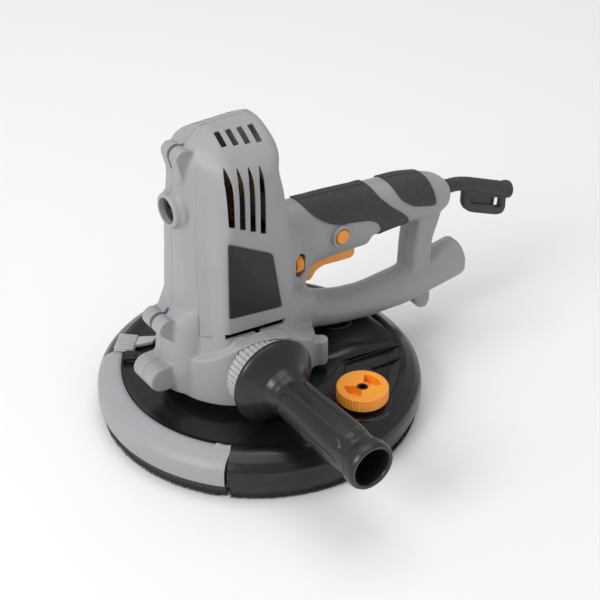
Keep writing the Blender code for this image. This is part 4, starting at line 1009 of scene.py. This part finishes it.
def bristles(name, start, end, seed, body, node, curved_end=False):
    """Rows of fine tapered tufts set in a solid strip, from one angle to the other."""
    rng = random.Random(seed)
    points, faces = [], []
    tuft_faces = ((0, 1, 4, 3), (1, 2, 5, 4), (2, 0, 3, 5), (3, 4, 5), (0, 2, 1))
    for row, radius in enumerate((0.1172, 0.1158, 0.1143, 0.1126, 0.1108)):
        spacing = 0.00062 / radius
        count = int((end - start) / spacing)
        for i in range(count):
            angle = start + (i + 0.5 + rng.uniform(-0.3, 0.3)) * (end - start) / count
            left = (end - angle) * radius
            lift = 0.0045 * max(0.0, 1 - left / 0.008) ** 2 if curved_end else 0.0
            tip = rng.uniform(0.0, 0.00015) + lift
            lean = rng.uniform(-0.002, 0.002)
            width = rng.uniform(0.0002, 0.0003)
            along = Vector((-math.sin(angle), math.cos(angle), 0))
            out = Vector((math.cos(angle), math.sin(angle), 0))
            top = out * (radius - 0.0004) + Vector((0, 0, BRUSH_TOP))
            low = out * (radius + rng.uniform(-0.0003, 0.0005)) + along * lean * 0.12 + Vector((0, 0, tip))
            base = len(points)
            for centre, size in ((top, width), (low, width * 0.8)):
                points += [centre + along * size, centre - (along + out * -1.6) * size * 0.5,
                           centre - (along + out * 1.6) * size * 0.5]
            faces += [tuple(base + corner for corner in face) for face in tuft_faces]
    tufts = new_mesh(name + "_tufts", points, faces)
    dress(tufts, finishes["bristle"], "bristle", body)
    profile = [(0.11, 0.0008), (0.1165, 0.0008), (0.1176, 0.0085), (0.1176, BRUSH_TOP), (0.11, BRUSH_TOP)]
    strip = lathe(name + "_strip", profile, UPRIGHT, 240, arc=(start + 0.004, end - 0.004))
    dress(strip, finishes["bristle"], "bristle", body, node)


def build_brushes():
    gap = FLAP_HALF + 0.012
    bristles("rim_brush", FLAP_MIDDLE + gap, FLAP_MIDDLE + 2 * math.pi - gap, 11, "root", "rim_brush")
    inner = FLAP_HALF - 0.01
    bristles("flap_brush", FLAP_MIDDLE - inner, FLAP_MIDDLE + inner, 12, "flap_body", "flap_brush", True)


def build_latch():
    """Ribbed thumb slide with an arm that reaches in over the deck."""
    turn = Matrix.Rotation(LATCH_ANGLE, 4, "Z")
    latch = ease(box("latch_slide", (0.0935, -0.0095, 0.0345), (0.1085, 0.0085, 0.0366), turn), 0.0005, 2)
    outline = rounded([(0.08, -0.0125), (0.094, -0.009), (0.094, 0.002), (0.082, -0.0045)], 0.001, 4)
    arm = prism("arm", outline, 0.0346, 0.0374, turn)
    ribs = []
    for i in range(8):
        y = -0.0084 + 0.0023 * i
        ribs.append(ease(box("rib", (0.094, y - 0.0006, 0.0355), (0.1082, y + 0.0006, 0.0387), turn), 0.0003, 2))
    boolean(latch, "UNION", [ease(arm, 0.0004, 2), *ribs])
    dress(latch, finishes["light_grey"], "light_grey", "latch_body", "flap_latch")


def build_knob():
    """A thick finger wheel with fine ribs and two wedge recesses beside its centre screw."""
    radius, low, top = KNOB_HIGH.x - KNOB_CENTRE.x - 0.0007, KNOB_LOW.z, KNOB_HIGH.z
    skirt, place = low + 0.0013, at(KNOB_CENTRE.x, KNOB_CENTRE.y, 0)

    def ribs(r, h, angle):
        fade = smoothstep(r, radius - 0.001, radius - 0.0002) * (1 - smoothstep(h, top - 0.0014, top - 0.0004))
        return (r - 0.0006 * fade * (0.5 - 0.5 * math.cos(48 * angle)) ** 0.7, h, angle)

    profile = rounded([(0.004, low), (0.015, low), (0.015, skirt), (radius, skirt), (radius, top),
                       (0.004, top)], 0.0014, 6)
    wheel = lathe("knob_wheel", dense(profile + [profile[0]], 0.0007)[:-1], place, 480, True, ribs)
    recesses = []
    for start in (-32, 148):
        outline = circle((0, 0), 0.0132, start, start + 80, 24) + circle((0, 0), 0.0046, start + 80, start, 10)
        recesses.append(prism("recess", rounded(outline, 0.0005, 2), low + 0.005, top + 0.01, place))
    boolean(wheel, "DIFFERENCE", recesses)
    dress(wheel, finishes["orange_plastic"], "orange_plastic", "knob_body", "suction_knob", sharp=32.0)
    head = [(0.0022, 0.033), (0.0022, 0.0374), (0.0037, 0.0374), (0.0037, top - 0.0008), (0.001, top - 0.0008)]
    screw = lathe("knob_screw_head", rounded(head, 0.0003, 3), place, 48)
    hexagon = prism("hexagon", circle((0, 0), 0.0021, 0, 300, 5), top - 0.004, top + 0.01, place)
    boolean(screw, "DIFFERENCE", [hexagon])
    dress(screw, finishes["dark_steel"], "steel", "root", "knob_screw")


# ---------------------------------------------------------------- side handle


def build_side_handle():
    """A domed flange, a grip with eight long raised panels, and a raised collar round a deep open bore."""
    place = at(HANDLE_X, 0, HANDLE_Z, FACE_MINUS_Y)

    def panels(r, h, angle):
        if r < 0.0138:
            return (r, h, angle)
        turn = (angle / (2 * math.pi) * 8 + 0.25) % 1.0 - 0.5
        taper = smoothstep(h, 0.09, 0.098) * (1 - smoothstep(h, 0.152, 0.16))
        width = 0.14 + 0.2 * taper
        rise = (1 - smoothstep(abs(turn), width, width + 0.06)) * smoothstep(taper, 0.02, 0.25)
        sunk = smoothstep(h, 0.083, 0.09) * (1 - smoothstep(h, 0.158, 0.164))
        return (r + (0.0008 * rise - 0.0006) * sunk, h, angle)

    outer = [(0.01, HANDLE_SEAT), (0.03, HANDLE_SEAT), (0.0312, 0.0624), (0.0318, 0.064), (0.0316, 0.0654),
             (0.03, 0.0676), (0.0262, 0.0706), (0.0215, 0.0738), (0.018, 0.0775), (0.0162, 0.082),
             (0.0154, 0.087), (0.0152, 0.1), (0.0158, 0.12), (0.0163, 0.145), (0.016, 0.16),
             (0.0153, 0.165), (0.0154, 0.1664), (0.0172, 0.1684), (0.0177, 0.172), (0.0175, 0.1758),
             (0.0166, HANDLE_END - 0.0004), (0.0158, HANDLE_END), (0.014, HANDLE_END - 0.0003),
             (0.0134, HANDLE_END - 0.0015), (0.013, 0.116), (0.01, 0.115)]
    grip = lathe("side_handle_grip", dense(outer, 0.0011), place, 256, shape=panels)
    boolean(grip, "DIFFERENCE", [rod("thread", THREAD_RADIUS, 0.05, 0.096, place)])
    dress(grip, finishes["handle_black"], "black_gloss", "root", "side_handle", sharp=36.0)


def build_collar():
    """The clamping cup behind the flange, its rim cut into square ribs with one groove round them."""
    place = at(HANDLE_X, 0, HANDLE_Z, FACE_MINUS_Y)
    floor_y, high = -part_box("handle_collar")[1].y, -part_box("handle_collar")[0].y
    low, radius = 0.0475, 0.0275

    def ribs(r, h, angle):
        if r < radius - 0.001:
            return (r, h, angle)
        notch = smoothstep(math.cos(44 * angle), 0.6, 0.85)
        waist = math.exp(-((h - 0.055) / 0.0005) ** 2)
        return (r - 0.0011 * notch - 0.0009 * waist, h, angle)

    profile = [(0.0046, floor_y), (0.0226, floor_y), (0.0226, low), (radius - 0.0006, low), (radius, low + 0.0006),
               (radius, high - 0.0005), (radius - 0.0005, high), (0.0046, high)]
    collar = lathe("collar_ribbed", dense(profile + [profile[0]], 0.0005)[:-1], place, 528, True, ribs)
    dress(collar, finishes["light_grey"], "light_grey", "root", "handle_collar", sharp=34.0)


# ---------------------------------------------------------------- disc


def build_disc():
    """Abrasive sheet and foam, finer than the frame's."""
    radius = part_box("abrasive_disc")[1].y
    outline = rounded([(0.002, 0.0), (radius, 0.0), (radius, 0.0012), (0.002, 0.0012)], 0.0003, 2)
    sheet = lathe("abrasive_sheet", outline, UPRIGHT, 180)
    holes = [rod("hole", 0.005, -0.001, 0.003, at(0.062 * math.cos(a), 0.062 * math.sin(a), 0), 32)
             for a in (math.radians(45.0 * i + 22.5) for i in range(8))]
    boolean(sheet, "DIFFERENCE", holes)
    dress(sheet, finishes["abrasive"], "abrasive", "disc", "abrasive_disc")

    def pores(r, h, angle):
        if r < 0.088:
            return (r, h, angle)
        return (r - 0.0003 * (0.5 + 0.5 * math.sin(97 * angle + 1800 * h)), h, angle)

    pad = lathe("foam_ring", dense([(0.002, 0.0015), (0.0888, 0.0015), (0.0892, 0.002), (0.0892, 0.007),
                                    (0.0888, 0.0075), (0.002, 0.0075)], 0.0008), UPRIGHT, 320, shape=pores)
    dress(pad, finishes["foam"], "foam", "disc", "foam_pad")


# ---------------------------------------------------------------- inner parts


def finish_frame_nodes():
    """Gives each frame node that still shows its own finish."""
    slots = {row["node"]: row["material_slot"] for row in frame["record"]["subparts"]}
    for name, node in frame["nodes"].items():
        if node.hide_render:
            continue
        node.data.materials.clear()
        node.data.materials.append(finishes[slots[name]])


# ---------------------------------------------------------------- floor, light and camera


def build_floor():
    """A pale sweep, level under the tool and curving up far behind it."""
    around, rows, reach = 96, 60, 6.0
    points = []
    for t in np.linspace(0.0, 1.0, rows)[1:]:
        distance = reach * t * t
        rise = 1.2 * smoothstep(distance, reach / 2, reach)
        points += [(distance * math.cos(a) + 0.03, distance * math.sin(a), rise - 0.0003)
                   for a in np.linspace(0, 2 * math.pi, around, endpoint=False)]
    faces = [(a + j, a + (j + 1) % around, a + around + (j + 1) % around, a + around + j)
             for a in range(0, (rows - 2) * around, around) for j in range(around)]
    floor = new_mesh("floor", points, faces + [tuple(range(around))])
    floor.data.shade_smooth()
    paper = Finish("paper", (0.93, 0.93, 0.93), 0.85)
    paper.uneven(paper.noise(30.0, 3.0), 0.8, 0.9)
    floor.data.materials.append(paper.made())


def soft_box(name, place, target, size, power):
    lamp = bpy.data.lights.new(name, "AREA")
    lamp.shape, lamp.size, lamp.size_y, lamp.energy = "RECTANGLE", size[0], size[1], power
    made = bpy.data.objects.new(name, lamp)
    made.location = place
    made.rotation_mode = "QUATERNION"
    made.rotation_quaternion = (Vector(target) - Vector(place)).to_track_quat("-Z", "Y")
    bpy.context.scene.collection.objects.link(made)


def build_light():
    """A white room with a large soft key from the front left, all shown without a film curve."""
    bpy.context.scene.view_settings.view_transform = "Standard"
    world = bpy.data.worlds.new("studio")
    world.use_nodes = True
    world.node_tree.nodes["Background"].inputs["Color"].default_value = (1.0, 1.0, 1.0, 1.0)
    world.node_tree.nodes["Background"].inputs["Strength"].default_value = 0.5
    bpy.context.scene.world = world
    middle = (0.03, 0.0, 0.1)
    soft_box("key", (-1.9, -0.3, 1.5), middle, (1.0, 1.0), 26.0)
    soft_box("top", (0.1, 0.2, 2.2), middle, (1.8, 1.8), 17.0)


def build_camera():
    """The camera looks across the side handle, from the front left and a little over a third of the way up."""
    azimuth, elevation, distance = math.radians(-35.0), math.radians(34.2), 1.2019
    aim = Vector((0.047534, 0.015773, 0.059132))
    back = Vector((math.sin(azimuth) * math.cos(elevation), -math.cos(azimuth) * math.cos(elevation),
                   math.sin(elevation)))
    lens = bpy.data.cameras.new("camera")
    lens.lens, lens.sensor_width = 96.0, 36.0
    camera = bpy.data.objects.new("camera", lens)
    camera.location = aim + back * distance
    camera.rotation_mode = "QUATERNION"
    camera.rotation_quaternion = (-back).to_track_quat("-Z", "Y")
    bpy.context.scene.collection.objects.link(camera)
    bpy.context.scene.camera = camera


for build in (build_camera, build_light, build_floor, build_housing, build_badges, build_grip_pads, build_trigger,
              build_lock_button, build_speed_dial, build_cord_guard, build_screws, build_brush_caps, build_shroud,
              build_flap, build_brushes, build_latch, build_knob, build_side_handle, build_collar, build_disc,
              finish_frame_nodes):
    build()
